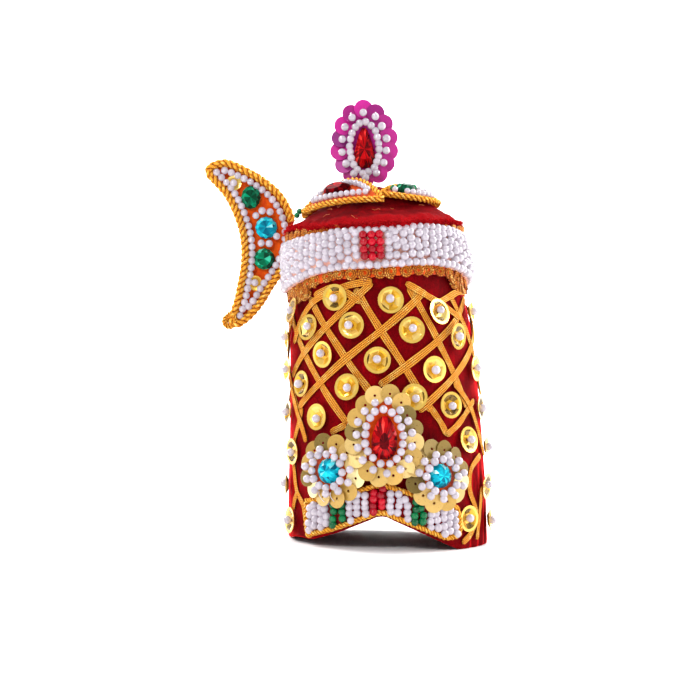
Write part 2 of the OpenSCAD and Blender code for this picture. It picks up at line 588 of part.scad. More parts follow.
// What is drawn flat becomes a layer of the bowed leaf, between two distances from its back
module bowed(from, to) intersection() {
    translate([0, 0, -leaf_bow / 4]) linear_extrude(leaf_bow / 2) children();
    translate([0, 0, -leaf_bow]) rotate([90, 0, 0]) difference() {
        cylinder(r = leaf_bow + to, h = 3 * leaf_width, center = true, $fn = 180);
        cylinder(r = leaf_bow + from, h = 4 * leaf_width, center = true, $fn = 180);
    }
}
function bow_height(x, h) = sqrt(pow(leaf_bow + h, 2) - x * x) - leaf_bow;
leaf_braid_width = 1.5;
leaf_braid_from = leaf_felt_thickness + seam;
module leaves_felt() color(felt) for (row = leaf_rows) on_leaf(row, 0)
    bowed(0, leaf_felt_thickness) leaf_outline(row, 0);
module leaves_braid() color(gold) for (row = leaf_rows) on_leaf(row, 0)
    bowed(leaf_braid_from, leaf_braid_from + 1.3) difference() {
        leaf_outline(row, 0);
        leaf_outline(row, leaf_braid_width);
    }
leaf_pearl_diameter = 2.1;
leaf_pearls_per_side = 5;
module leaf_bead(row, i, side) on_leaf(row, 0) {
    t = -0.52 + 1.04 * i / (leaf_pearls_per_side - 1);
    x = t * leaf_length(row) / 2;
    translate([x, leaf_side(row, side, t)
                  - side * (leaf_braid_width + seam + leaf_pearl_diameter / 2),
               bow_height(x, leaf_felt_thickness + 2 * seam + leaf_pearl_diameter / 2)])
        sphere(d = leaf_pearl_diameter, $fn = 24);
}
module leaves_pearls() color(pearl) for (k = [0:1]) for (side = [-1, 1])
    for (i = [0:leaf_pearls_per_side - 1]) if (k != 1 || side < 0 || i > 3)
        leaf_bead(leaf_rows[k], i, side);
module green_beads() color(green_glass) {
    for (i = [1:3]) leaf_bead(leaf_rows[1], i, 1);
    for (drop = [0:1]) on_leaf(leaf_rows[0], 0) {
        x = -leaf_length(leaf_rows[0]) / 2 - 1.2;
        translate([x, -drop * 2.3, bow_height(x, leaf_felt_thickness + 1)])
            sphere(d = leaf_pearl_diameter, $fn = 24);
    }
}
module leaf_stone(row) on_leaf(row, 0) {
    x = (row[4] - 0.5) * leaf_length(row);
    translate([x, leaf_centre(row), bow_height(x, leaf_felt_thickness + seam)])
        rotate([0, asin(x / leaf_bow), 0]) oval_stone(row[8], row[9], 3);
}
module leaf_red_stones() color(red_glass) {
    leaf_stone(leaf_rows[0]);
    leaf_stone(leaf_rows[2]);
}
module leaf_green_stones() color(green_glass) {
    leaf_stone(leaf_rows[1]);
    leaf_stone(leaf_rows[3]);
}

// The plume stands on the cap and faces the front
plume_centre = [-11.4, -1, 134];
// Half width and half height of the rings of sequins, outer pearls and inner pearls
plume_rings = [[8.3, plume_height / 2 - 2.3], [7.9, plume_height / 2 - 2.5],
               [5.1, plume_height / 2 - 5.8]];
// How far the inner pearls and the stone lie below the middle
plume_inner_drop = 1.2;
plume_stone_drop = 1.9;
module on_plume(off) translate(plume_centre) rotate([0, -plume_lean, 0]) rotate([90, 0, 0])
    translate([0, 0, off]) children();
plume_back = 1.2;
module plume_felt() color(pink) on_plume(0) linear_extrude(plume_back)
    polygon(oval_ring(32, plume_rings[0][0] - 0.5, plume_rings[0][1] + 1, 0, 0));
module plume_petals() color(pink) on_plume(plume_back + seam)
    linear_extrude(flat_sequin_thickness * 1.5) union() {
        for (p = oval_ring(14, plume_rings[0][0], plume_rings[0][1], 0.06, 0.5)) translate(p)
            circle(d = flat_sequin_diameter, $fn = 24);
    }
plume_pearls_off = plume_back + seam + 2 * flat_sequin_thickness + pearl_diameter / 2;
module plume_pearls() color(pearl) on_plume(plume_pearls_off) for (k = [1:2])
    loose_beads([for (p = oval_ring(14, plume_rings[k][0], plume_rings[k][1], 0, k / 2))
                 [p[0], p[1] - (k - 1) * plume_inner_drop, 0]], pearl_diameter);
module plume_stone() color(red_glass) on_plume(plume_back + seam)
    translate([0, -plume_stone_drop, 0]) drop_stone(pear_shape, 13.2, 6.6, 4);

crown_body();
velvet_cap();
pearl_band();
red_patch();
lace_below_band();
lace_above_band();
gold_lattice();
cup_sequins();
cup_pearls();
panel_backing();
panel_braid();
panel_beads_white();
panel_beads_green();
panel_beads_red();
flower_centre_felt();
flower_centre_petals();
flower_centre_pearls();
flower_centre_stone();
flower_left_felt();
flower_left_petals();
flower_left_pearls();
flower_left_stone();
flower_right_felt();
flower_right_petals();
flower_right_pearls();
flower_right_stone();
crescent_felt();
crescent_braid();
crescent_pearls();
crescent_sequins();
crescent_upper_stone();
crescent_middle_stone();
crescent_lower_stone();
leaves_felt();
leaves_braid();
leaves_pearls();
leaf_red_stones();
leaf_green_stones();
green_beads();
plume_felt();
plume_petals();
plume_pearls();
plume_stone();
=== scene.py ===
"""A velvet deity crown: red pile tube, domed cap, pearl band, gold lattice, jewelled flowers,
beaded front panel, side crescent, leaves and plume. Lengths are millimetres and angles degrees
until a mesh is made. Angle 0 is the front, and angles grow towards the picture's right."""

import math

import bmesh
import bpy
import numpy as np
from mathutils import Matrix, Vector


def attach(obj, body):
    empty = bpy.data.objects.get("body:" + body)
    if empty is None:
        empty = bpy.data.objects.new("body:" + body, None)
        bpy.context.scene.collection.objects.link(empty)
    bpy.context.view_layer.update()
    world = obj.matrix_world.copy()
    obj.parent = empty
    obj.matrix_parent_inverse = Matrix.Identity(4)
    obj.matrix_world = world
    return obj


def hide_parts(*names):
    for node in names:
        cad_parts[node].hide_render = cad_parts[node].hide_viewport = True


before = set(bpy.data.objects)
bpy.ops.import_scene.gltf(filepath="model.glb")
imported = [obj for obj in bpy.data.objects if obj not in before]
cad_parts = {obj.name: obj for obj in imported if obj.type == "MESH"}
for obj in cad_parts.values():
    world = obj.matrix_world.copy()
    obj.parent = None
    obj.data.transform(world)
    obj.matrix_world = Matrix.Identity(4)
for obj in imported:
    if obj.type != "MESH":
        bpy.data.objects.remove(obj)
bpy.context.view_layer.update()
MM = 0.001
rng = np.random.default_rng(11)
scene = bpy.context.scene


def put_in_scene(name, data):
    o = bpy.data.objects.new(name, data)
    scene.collection.objects.link(o)
    return o


# The camera looks straight at the front, level and rolled a little
CAMERA_PLACE, CAMERA_ROLL = (-14.4, -600.0, 64.1), 1.5
FOCAL_PIXELS, PICTURE_PIXELS, SENSOR = 1764.7, 700, 36.0


def make_camera():
    data = bpy.data.cameras.new("camera")
    data.sensor_width = SENSOR
    data.lens = FOCAL_PIXELS / PICTURE_PIXELS * SENSOR
    data.clip_start, data.clip_end = 0.05, 20
    data.dof.use_dof = False
    cam = put_in_scene("camera", data)
    r = math.radians(CAMERA_ROLL)
    right, up = Vector((math.cos(r), 0, math.sin(r))), Vector((-math.sin(r), 0, math.cos(r)))
    m = Matrix((right, up, Vector((0, -1, 0)))).transposed().to_4x4()
    m.translation = Vector(CAMERA_PLACE) * MM
    cam.matrix_world = m
    scene.camera = cam


make_camera()

# The crown's own shape, from the same sizes as its solids
HEM_RADIUS, TOP_RADIUS, WALL = 34.2, 28.4, 2.0
BODY_LEAN, NOTCH_HEIGHT, NOTCH_HALF, NOTCH_MIDDLE = 7.0, 10.8, 49.0, -4
NOTCH_SHAPE = ((0, 0.06, 0.14, 0.42, 0.7, 0.88, 1), (1, 0.98, 0.88, 0.57, 0.27, 0.08, 0))
BACK_ARCH, BACK_HALF, CORNER_LIFT, CORNER_ANGLE, CORNER_HALF = 6.0, 55, 1.8, -60, 36
FOLD_DEPTH, FOLDS, FOLD_REACH = 0.5, 3, 70
# Share of the height, then the share of the lean or of the taper that is reached there
LEAN = ((0, 0.2, 0.38, 0.53, 0.72, 0.82, 1, 1.3), (0, 0.11, 0.24, 0.36, 0.59, 0.76, 1, 1.2))
TAPER = ((0, 0.2, 0.38, 0.53, 0.62, 0.72, 0.82, 1), (0, 0.07, 0.22, 0.38, 0.45, 0.57, 0.79, 1))
CAP_CENTRE, CAP_RADIUS, CAP_RISE, CAP_ROLL, CAP_CLOTH = (-7.8, 0.0, 105.2), 28.6, 14.9, 5.0, 1.6
BAND_ANGLES = (-180, -140, -90, -68, -45, -25, 0, 20, 40, 60, 90, 130, 180)
BAND_LOW = (84, 83, 82.5, 84, 87.6, 89.8, 90.3, 91.7, 92.4, 91, 87.5, 85, 84)
BAND_HIGH = (101, 100, 99.2, 100, 101.6, 103.6, 104.4, 105.5, 106.4, 105.5, 102.8, 101.6, 101)
PANEL_HEIGHT, PANEL_FOLLOWS_HEM = 13.5, 0.75


def sind(a):
    return np.sin(np.radians(a))


def cosd(a):
    return np.cos(np.radians(a))


def signed(a):
    """The same angle between -180 and 180."""
    return (np.asarray(a, float) + 180) % 360 - 180


def hump(x, middle, half, power=2):
    """1 at the middle and falling off on both sides; a higher power makes it flatter."""
    return np.exp(-((x - middle) / half) ** power)


def centre_x(z):
    return -BODY_LEAN * np.interp(np.asarray(z) / 100, *LEAN)


def tube_radius(z):
    return HEM_RADIUS - (HEM_RADIUS - TOP_RADIUS) * np.interp(np.asarray(z) / 100, *TAPER)


def fold(a, z):
    return -FOLD_DEPTH * (0.5 - 0.5 * cosd(FOLDS * a + 40)) * np.maximum(0, 1 - z / FOLD_REACH)


def on_tube(a, z, out=0.0):
    """Point that lies at angle a and height z, out from the cloth."""
    a, z = np.asarray(a, float), np.asarray(z, float)
    r = tube_radius(z) + out + fold(a, z)
    return np.stack(np.broadcast_arrays(centre_x(z) + r * sind(a), -r * cosd(a), z), -1)


def tube_frame(a, z):
    """Across, up the cloth and straight out of it, at angle a and height z."""
    slope = (tube_radius(z + 3) - tube_radius(z - 3)
             + (centre_x(z + 3) - centre_x(z - 3)) * sind(a)) / 6
    s = np.arctan(slope)
    across = np.array([cosd(a), sind(a), 0.0])
    up = np.array([sind(a) * np.sin(s), -cosd(a) * np.sin(s), np.cos(s)])
    out = np.array([sind(a) * np.cos(s), -cosd(a) * np.cos(s), -np.sin(s)])
    return across, up, out


def hem(a):
    """Height of the hem: the notch in front, an arch behind and a lifted left corner."""
    w = signed(a)
    front, back = np.abs(w - NOTCH_MIDDLE) / NOTCH_HALF, (180 - np.abs(w)) / BACK_HALF
    h = np.where(front < 1, NOTCH_HEIGHT * np.interp(front, *NOTCH_SHAPE),
                 np.where(back < 1, BACK_ARCH * (0.5 + 0.5 * cosd(180 * back)), 0))
    aside = w - CORNER_ANGLE
    corner = CORNER_LIFT * (0.5 + 0.5 * cosd(180 / CORNER_HALF * aside))
    return h + np.where(np.abs(aside) < CORNER_HALF, corner, 0)


def edge(a, row):
    """Height of an edge of the band, its corners eased over 12 degrees."""
    left, here, right = (np.interp(signed(a + step), BAND_ANGLES, row) for step in (-12, 0, 12))
    return (left + 2 * here + right) / 4


def cap_tilt(x):
    return (x - CAP_CENTRE[0]) * math.tan(math.radians(CAP_ROLL))


def dome(share):
    return np.maximum(0, 1 - np.minimum(share, 1) ** 1.2) ** 0.72


def cap_height(x, y):
    share = np.hypot(x - CAP_CENTRE[0], y) / CAP_RADIUS
    return CAP_CENTRE[2] + cap_tilt(x) + CAP_RISE * dome(share)


def cap_ring(a, r):
    """Across and depth of points at angle a and distance r from the cap's middle."""
    return CAP_CENTRE[0] + r * sind(a), -r * cosd(a)


def panel_low(a):
    return hem(a) + 1


def panel_high(a):
    return hem(a) * PANEL_FOLLOWS_HEM + PANEL_HEIGHT


# Meshes
def mesh_object(name, verts, faces, material=None, uv=None, smooth=True):
    """verts in millimetres; uv is one (u, v) for each vertex."""
    m = bpy.data.meshes.new(name)
    m.from_pydata((np.asarray(verts, float) * MM).tolist(), [], [list(f) for f in faces])
    if uv is not None:
        idx = np.empty(len(m.loops), np.int32)
        m.loops.foreach_get("vertex_index", idx)
        m.uv_layers.new(name="UVMap").data.foreach_set(
            "uv", np.asarray(uv, np.float32)[idx].ravel())
    m.polygons.foreach_set("use_smooth", [smooth] * len(m.polygons))
    m.update()
    if material:
        m.materials.append(material)
    return put_in_scene(name, m)


def grid_faces(n, m, closed):
    """Faces of a grid of n stations, each of m points, that follow each other."""
    i, j = np.meshgrid(np.arange(n if closed else n - 1), np.arange(m - 1), indexing="ij")
    i, j, k = i.ravel(), j.ravel(), ((i + 1) % n).ravel()
    return np.stack([i * m + j, k * m + j, k * m + j + 1, i * m + j + 1], 1).tolist()


def skin_faces(n, m, closed):
    """Faces over n closed sections of m points; both ends are shut where the way is open."""
    faces = grid_faces(n, m, closed)
    faces += [(i * m + m - 1, (i + 1) % n * m + m - 1, (i + 1) % n * m, i * m)
              for i in range(n if closed else n - 1)]
    if not closed:
        faces += [tuple(range(m)), tuple((n - 1) * m + k for k in range(m))]
    return faces


def section_tube(name, rows, material):
    """Closed skin from a closed section at each station round a closed way."""
    n, m = rows.shape[:2]
    return mesh_object(name, rows.reshape(-1, 3), skin_faces(n, m, True), material)


def face_outwards(o, weld=1e-7):
    """Normals outward; points closer than weld become one."""
    bm = bmesh.new()
    bm.from_mesh(o.data)
    if weld:
        bmesh.ops.remove_doubles(bm, verts=bm.verts, dist=weld)
    bmesh.ops.recalc_face_normals(bm, faces=bm.faces)
    bm.to_mesh(o.data)
    bm.free()
    return o


def set_tones(o, values):
    """One number from 0 to 1 for each face, which its material reads."""
    o.data.attributes.new("tone", "FLOAT", "FACE").data.foreach_set("value", values)
    return o


def finish_piece(o, replaces=(), slot=None):
    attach(o, "root")
    if replaces:
        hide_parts(*replaces)
    return o


def join(name, objects):
    """One object out of several, their places kept."""
    with bpy.context.temp_override(active_object=objects[0], selected_editable_objects=objects):
        bpy.ops.object.join()
    objects[0].name = objects[0].data.name = name
    return objects[0]


# Node trees
def new_tree(kind, name, inputs, outputs):
    """A node group with named sockets; gives the tree, what comes in and what goes out."""
    t = bpy.data.node_groups.new(name, kind)
    for way, sockets in (("INPUT", inputs), ("OUTPUT", outputs)):
        for label, socket, *value in sockets:
            s = t.interface.new_socket(label, in_out=way, socket_type="NodeSocket" + socket)
            if value:
                s.default_value = value[0]
    return t, t.nodes.new("NodeGroupInput").outputs, t.nodes.new("NodeGroupOutput").inputs


def node(t, kind, links=None, **props):
    """A node of tree t; links gives a value or an output for each input, by name or number."""
    n = t.nodes.new(kind)
    for k, v in props.items():
        setattr(n, k, v)
    for k, v in (links or {}).items():
        if isinstance(v, bpy.types.NodeSocket):
            t.links.new(v, n.inputs[k])
        else:
            n.inputs[k].default_value = v
    return n


def made(t, kind, links=None, **props):
    """What a new node gives out first."""
    return node(t, kind, links, **props).outputs[0]


def calc(t, operation, *values):
    return made(t, "ShaderNodeMath", dict(enumerate(values)), operation=operation)


def captured(t, geometry, label, value):
    """The geometry with a value kept on it, and the kept value."""
    n = node(t, "GeometryNodeCaptureAttribute", {"Geometry": geometry})
    n.capture_items.new("FLOAT", label)
    t.links.new(value, n.inputs[1])
    return n.outputs[0], n.outputs[1]


def handed_out(t, geometry, gi, go):
    """The end of a tree: copies made real, and the material set."""
    real = made(t, "GeometryNodeRealizeInstances", {"Geometry": geometry})
    t.links.new(made(t, "GeometryNodeSetMaterial",
                     {"Geometry": real, "Material": gi["Material"]}), go[0])
    return t


SHAPE_IN, SHAPE_OUT = ("Geometry", "Geometry"), [("Geometry", "Geometry")]


def sewn_on_tree():
    """One copy of the template at each point, turned by 'turn', stretched by 'stretch'."""
    t, gi, go = new_tree("GeometryNodeTree", "sewn_on",
                         [SHAPE_IN, ("Template", "Object"), ("Material", "Material")], SHAPE_OUT)
    template = node(t, "GeometryNodeObjectInfo", {"Object": gi["Template"]}).outputs["Geometry"]
    turn, stretch = (node(t, "GeometryNodeInputNamedAttribute", {"Name": name},
                          data_type="FLOAT_VECTOR").outputs["Attribute"]
                     for name in ("turn", "stretch"))
    put = made(t, "GeometryNodeInstanceOnPoints",
               {"Points": gi["Geometry"], "Instance": template, "Rotation": turn,
                "Scale": stretch})
    return handed_out(t, put, gi, go)


def twisted_cord_tree():
    """A cord with lobes that turn along it. UVMap holds the share round it and its length."""
    t, gi, go = new_tree("GeometryNodeTree", "twisted_cord",
                         [SHAPE_IN, ("Radius", "Float", 0.001), ("Lobes", "Float", 3.0),
                          ("Lobe Depth", "Float", 0.3), ("Lay", "Float", 0.004),
                          ("Step", "Float", 0.0004), ("Material", "Material")], SHAPE_OUT)
    line = made(t, "GeometryNodeMeshToCurve", {"Mesh": gi["Geometry"]})
    even = made(t, "GeometryNodeResampleCurve", {"Curve": line, "Length": gi["Step"]},
                mode="LENGTH")
    along = node(t, "GeometryNodeSplineParameter").outputs["Length"]
    tilt = calc(t, "MULTIPLY", calc(t, "DIVIDE", along, gi["Lay"]), math.tau)
    turned = made(t, "GeometryNodeSetCurveTilt", {"Curve": even, "Tilt": tilt})
    way, length = captured(t, turned, "length", along)
    share = node(t, "GeometryNodeSplineParameter").outputs["Factor"]
    half_turns = calc(t, "MULTIPLY", calc(t, "MULTIPLY", share, gi["Lobes"]), math.pi)
    lobe = calc(t, "ABSOLUTE", calc(t, "SINE", half_turns))
    grown = calc(t, "MULTIPLY_ADD", lobe, gi["Lobe Depth"],
                 calc(t, "SUBTRACT", 1.0, gi["Lobe Depth"]))
    ring = made(t, "GeometryNodeCurvePrimitiveCircle",
                {"Resolution": 18, "Radius": gi["Radius"]})
    lobed = made(t, "GeometryNodeSetPosition", {"Geometry": ring, "Position": made(
        t, "ShaderNodeVectorMath", {0: made(t, "GeometryNodeInputPosition"), "Scale": grown},
        operation="SCALE")})
    section, share = captured(t, lobed, "share", share)
    solid = made(t, "GeometryNodeCurveToMesh",
                 {"Curve": way, "Profile Curve": section, "Fill Caps": True})
    uv = made(t, "GeometryNodeStoreNamedAttribute",
              {"Geometry": solid, "Name": "UVMap",
               "Value": made(t, "ShaderNodeCombineXYZ", {"X": share, "Y": length})},
              data_type="FLOAT2", domain="CORNER")
    return handed_out(t, made(t, "GeometryNodeSetShadeSmooth", {"Geometry": uv}), gi, go)


SEWN_ON, TWISTED_CORD = sewn_on_tree(), twisted_cord_tree()


def grow(name, source, tree, values):
    """The mesh that the tree makes out of the source, as a plain object."""
    mod = source.modifiers.new("made", "NODES")
    mod.node_group = tree
    for item in tree.interface.items_tree:
        if item.in_out == "INPUT" and item.name in values:
            mod[item.identifier] = values[item.name]
    bpy.context.view_layer.update()
    dg = bpy.context.evaluated_depsgraph_get()
    mesh = bpy.data.meshes.new_from_object(
        source.evaluated_get(dg), preserve_all_data_layers=True, depsgraph=dg)
    mesh.name = name
    bpy.data.objects.remove(source)
    return put_in_scene(name, mesh)


def sew(name, template, material, places, turns, sizes=None, tones=None):
    """Copies of the template at places, each turned to its (across, up, out) and sized."""
    n = len(places)
    m = bpy.data.meshes.new(name)
    m.from_pydata((np.asarray(places, float) * MM).tolist(), [], [])
    angles = np.array([Matrix(np.array(t).T.tolist()).to_euler() for t in turns], np.float32)
    stretch = np.ones((n, 3), np.float32)
    if sizes is not None:
        stretch *= np.asarray(sizes, np.float32).reshape(n, -1)
    tones = np.asarray(rng.random(n) if tones is None else tones, np.float32)
    for label, kind, data, key in (("turn", "FLOAT_VECTOR", angles, "vector"),
                                   ("stretch", "FLOAT_VECTOR", stretch, "vector"),
                                   ("tone", "FLOAT", tones, "value")):
        m.attributes.new(label, kind, "POINT").data.foreach_set(key, data.ravel())
    return grow(name, put_in_scene(name, m), SEWN_ON,
                {"Template": template, "Material": material})


def cord(name, path, material, radius, lobes, depth, lay, step, closed=False):
    """A twisted cord along a path: radius, lobes and their depth, length of one turn, step."""
    n = len(path)
    m = bpy.data.meshes.new(name)
    links = [(i, i + 1) for i in range(n - 1)] + ([(n - 1, 0)] if closed else [])
    m.from_pydata((np.asarray(path, float) * MM).tolist(), links, [])
    return grow(name, put_in_scene(name, m), TWISTED_CORD, {
        "Radius": radius * MM, "Lobes": float(lobes), "Lobe Depth": float(depth),
        "Lay": lay * MM, "Step": step * MM, "Material": material})


# Frames of three directions, and ways through points
UPRIGHT = (np.array([1.0, 0, 0]), np.array([0, 1.0, 0]), np.array([0, 0, 1.0]))
FACING = (np.array([1.0, 0, 0]), np.array([0, 0, 1.0]), np.array([0, -1.0, 0]))


def spun(turn, degrees):
    """The same frame turned about its own third axis."""
    u, v, n = turn
    c, s = math.cos(math.radians(degrees)), math.sin(math.radians(degrees))
    return u * c + v * s, v * c - u * s, n


def tipped(turn, about_u, about_v):
    """The same frame tipped about its first and second axes."""
    r = (Matrix.Rotation(math.radians(about_v), 3, Vector(turn[1]))
         @ Matrix.Rotation(math.radians(about_u), 3, Vector(turn[0])))
    return tuple(np.array(r @ Vector(x)) for x in turn)


# How far things lean at random, in degrees
BAND_LOOSE, PANEL_LOOSE, JEWEL_LOOSE, LEAF_LOOSE = 8, 15, 12, 20
CUP_LOOSE, FLAT_LOOSE, END_COIN_LOOSE = 4.0, 6, 12


def loose(turn, spread):
    """The same frame tipped at random, as a thing hangs on its thread."""
    return tipped(turn, *rng.normal(0, spread, 2))


def unit(v):
    """The same directions, each 1 long."""
    return v / np.linalg.norm(v, axis=-1, keepdims=True)


def catmull(points, parts):
    """A smooth way through the points, with so many parts between two of them."""
    p = np.asarray(points, float)
    out = []
    for i in range(len(p) - 1):
        a, b, c, d = p[max(0, i - 1)], p[i], p[i + 1], p[min(len(p) - 1, i + 2)]
        for t in np.arange(parts) / parts:
            out.append(0.5 * (2 * b + (c - a) * t + (2 * a - 5 * b + 4 * c - d) * t * t
                              + (3 * b - a - 3 * c + d) * t ** 3))
    return np.array(out + [p[-1]])


def steps_of(path):
    return np.linalg.norm(np.diff(path, axis=0), axis=1)


def spaced(path, n):
    """n points at even distances along a path."""
    path = np.asarray(path, float)
    run = np.r_[0, np.cumsum(steps_of(path))]
    at = np.linspace(0, run[-1], n)
    return np.stack([np.interp(at, run, path[:, k]) for k in range(path.shape[1])], 1)


def along(path, pitch):
    """Points at the pitch along a path."""
    return spaced(path, 1 + round(steps_of(path).sum() / pitch))


def oval_ring(n, rx, rz, narrow, turn):
    """n even places round an oval from its top, narrower at the top, moved on by turn steps."""
    t = np.radians(360 * (np.arange(49) + 48 * turn / n) / 48)
    path = np.stack([rx * np.sin(t) * (1 - narrow * np.cos(t)), rz * np.cos(t)], 1)
    return spaced(path, n + 1)[:n]


# Finishes
def tint(r, g, b):
    """A colour given as 0 to 255, made linear."""
    return tuple(((c / 255 + 0.055) / 1.055) ** 2.4 if c > 10 else c / 3294.6
                 for c in (r, g, b)) + (1.0,)


def grey(value):
    return (value, value, value, 1)


def shader_group(name, inputs, outputs):
    return new_tree("ShaderNodeTree", name, [("Vector", "Vector")] + inputs,
                    [(label, "Float") for label in outputs])


def give_out(t, go, **values):
    for label, value in values.items():
        t.links.new(value, go[label])
    return t


def speckle(t, vector, scale, detail=2.0, rough=0.5):
    return made(t, "ShaderNodeTexNoise", {"Vector": vector, "Scale": scale, "Detail": detail,
                                          "Roughness": rough})


def map_range(t, value, low, high, to=(0.0, 1.0)):
    """How far a value has come from low to high, spread over the range given as to."""
    return made(t, "ShaderNodeMapRange", {"Value": value, "From Min": low, "From Max": high,
                                          "To Min": to[0], "To Max": to[1]})


def pile_group():
    """Brushed pile: patches where the nap lies one way or the other, and its fine tips."""
    t, gi, go = shader_group("pile", [("Patch", "Float", 110.0), ("Tips", "Float", 3200.0)],
                             ("Brushed", "Tip", "Height"))
    v = gi["Vector"]
    patch = speckle(t, v, gi["Patch"], 4.0, 0.6)
    tips = speckle(t, v, gi["Tips"], 2.0, 0.7)
    comb = speckle(t, made(t, "ShaderNodeMapping", {"Vector": v, "Scale": (900, 900, 160)}),
                   1.0, 2.0, 0.6)
    mixed = calc(t, "ADD", calc(t, "MULTIPLY", patch, 0.7), calc(t, "MULTIPLY", comb, 0.3))
    return give_out(t, go, Brushed=map_range(t, mixed, 0.36, 0.66), Tip=tips,
                    Height=calc(t, "ADD", tips, calc(t, "MULTIPLY", comb, 0.5)))


def thread_group():
    """Metal thread wrapped slantwise round ribs, read from UVMap: share across and length."""
    t, gi, go = shader_group("gold_thread",
                             [("UV", "Vector"), ("Ribs", "Float", 4.0),
                              ("Wraps", "Float", 1500.0), ("Slant", "Float", 1.2)],
                             ("Lit", "Glint", "Height"))
    xyz = node(t, "ShaderNodeSeparateXYZ", {0: gi["UV"]}).outputs

    def waves(value):
        return calc(t, "ABSOLUTE", calc(t, "SINE", calc(t, "MULTIPLY", value, math.pi)))

    across = calc(t, "MULTIPLY", xyz[0], gi["Ribs"])
    rib = waves(across)
    wrap = waves(calc(t, "ADD", calc(t, "MULTIPLY", xyz[1], gi["Wraps"]),
                      calc(t, "MULTIPLY", calc(t, "PINGPONG", across, 1.0), gi["Slant"])))
    grain = speckle(t, gi["Vector"], 2600.0, 2.0, 0.6)
    patch = speckle(t, gi["Vector"], 420.0)
    # Painted light and shade: Lit is brighter on the tops of ribs and wraps and darker in the
    # grooves between them.
    lit = calc(t, "MULTIPLY", calc(t, "POWER", rib, 0.6),
               calc(t, "ADD", calc(t, "MULTIPLY", wrap, 0.65), 0.35))
    lit = calc(t, "ADD", calc(t, "MULTIPLY", lit, 0.66), calc(t, "MULTIPLY", grain, 0.42))
    # Painted glints: bright where a patch of noise meets a well-lit top.
    glint = calc(t, "MULTIPLY", map_range(t, patch, 0.5, 0.62), map_range(t, lit, 0.6, 0.85))
    height = calc(t, "ADD", calc(t, "MULTIPLY", rib, 0.6), calc(t, "MULTIPLY", wrap, 0.4))
    return give_out(t, go, Lit=lit, Glint=glint,
                    Height=calc(t, "ADD", height, calc(t, "MULTIPLY", grain, 0.35)))


def grain_group():
    """Fine grain and slow mottling that any hard finish has."""
    t, gi, go = shader_group("grain", [("Fine", "Float", 3000.0), ("Slow", "Float", 250.0)],
                             ("Grain", "Mottle"))
    mottle = speckle(t, gi["Vector"], gi["Slow"], 3.0, 0.55)
    return give_out(t, go, Grain=speckle(t, gi["Vector"], gi["Fine"], 3.0, 0.6),
                    Mottle=map_range(t, mottle, 0.3, 0.7))


def groove_group():
    """Foil stamped with fine rings round its hole; the radius share is read from UVMap."""
    t, gi, go = shader_group("stamped_foil", [("UV", "Vector"), ("Rings", "Float", 14.0)],
                             ("Scuff", "Height"))
    radius = node(t, "ShaderNodeSeparateXYZ", {0: gi["UV"]}).outputs[0]
    ring = calc(t, "SINE", calc(t, "MULTIPLY", radius,
                                calc(t, "MULTIPLY", gi["Rings"], math.tau)))
    scuff = speckle(t, gi["Vector"], 1400.0, 4.0, 0.7)
    return give_out(t, go, Scuff=map_range(t, scuff, 0.35, 0.7),
                    Height=calc(t, "ADD", calc(t, "MULTIPLY", ring, 0.3), scuff))


PILE, THREAD, GRAIN, GROOVES = pile_group(), thread_group(), grain_group(), groove_group()


class Finish:
    """A material with its shader, its coordinates and the shared effect it uses."""

    def __init__(self, name, **sockets):
        self.mat = bpy.data.materials.new(name)
        self.mat.use_nodes = True
        self.t = self.mat.node_tree
        self.shader = self.t.nodes["Principled BSDF"]
        self.place = node(self.t, "ShaderNodeTexCoord")
        for key, value in sockets.items():
            key = key.replace("_", " ").title().replace("Ior", "IOR")
            self.shader.inputs[key].default_value = value

    def effect(self, tree, **values):
        n = self.t.nodes.new("ShaderNodeGroup")
        n.node_tree = tree
        for label, coords in (("Vector", "Object"), ("UV", "UV")):
            if label in n.inputs:
                self.t.links.new(self.place.outputs[coords], n.inputs[label])
        for key, value in values.items():
            n.inputs[key].default_value = value
        return n.outputs

    def tone(self):
        return node(self.t, "ShaderNodeAttribute", attribute_name="tone").outputs["Fac"]

    def ramp(self, value, *stops):
        n = node(self.t, "ShaderNodeValToRGB", {"Fac": value})
        while len(n.color_ramp.elements) < len(stops):
            n.color_ramp.elements.new(0.5)
        for e, (at, colour) in zip(n.color_ramp.elements, stops):
            e.position, e.color = at, colour
        return n.outputs[0]

    def blend(self, share, a, b, kind="MIX"):
        return node(self.t, "ShaderNodeMix", {0: share, 6: a, 7: b}, data_type="RGBA",
                    blend_type=kind).outputs[2]

    def shaded(self, colour, value, *stops):
        """The colour made lighter and darker by a ramp over the value."""
        return self.blend(1.0, colour, self.ramp(value, *stops), "MULTIPLY")

    def feed(self, socket, value):
        self.t.links.new(value, self.shader.inputs[socket])
        return self

    def bumped(self, height, strength, distance):
        self.feed("Normal", made(self.t, "ShaderNodeBump", {
            "Height": height, "Strength": strength, "Distance": distance * MM}))
        return self.mat


def velvet(name, dark, mid, bright, sheen, tint_of_sheen, painted_grazing_colour, rim=None):
    """Pile with painted sheen: its colour changes where seen from the side and along a rim."""
    f = Finish(name, roughness=0.85, sheen_weight=sheen, sheen_roughness=0.35,
               sheen_tint=tint_of_sheen, specular_ior_level=0.05)
    p = f.effect(PILE)
    colour = f.ramp(p["Brushed"], (0.0, dark), (0.55, mid), (1.0, bright))
    # Painted sheen along the rim: the colour turns to the rim colour where the faces' tone is
    # high.
    if rim:
        colour = f.blend(f.tone(), colour, rim)
    colour = f.shaded(colour, p["Tip"], (0.3, grey(0.5)), (0.7, grey(1.1)))
    # Painted sheen: where the pile is seen from the side its colour turns to the last colour
    # given.
    painted_grazing_share = node(f.t, "ShaderNodeLayerWeight", {"Blend": 0.42}).outputs["Facing"]
    f.feed("Base Color", f.blend(map_range(f.t, painted_grazing_share, 0.5, 1.0), colour, painted_grazing_colour))
    return f.bumped(p["Height"], 0.55, 0.25)


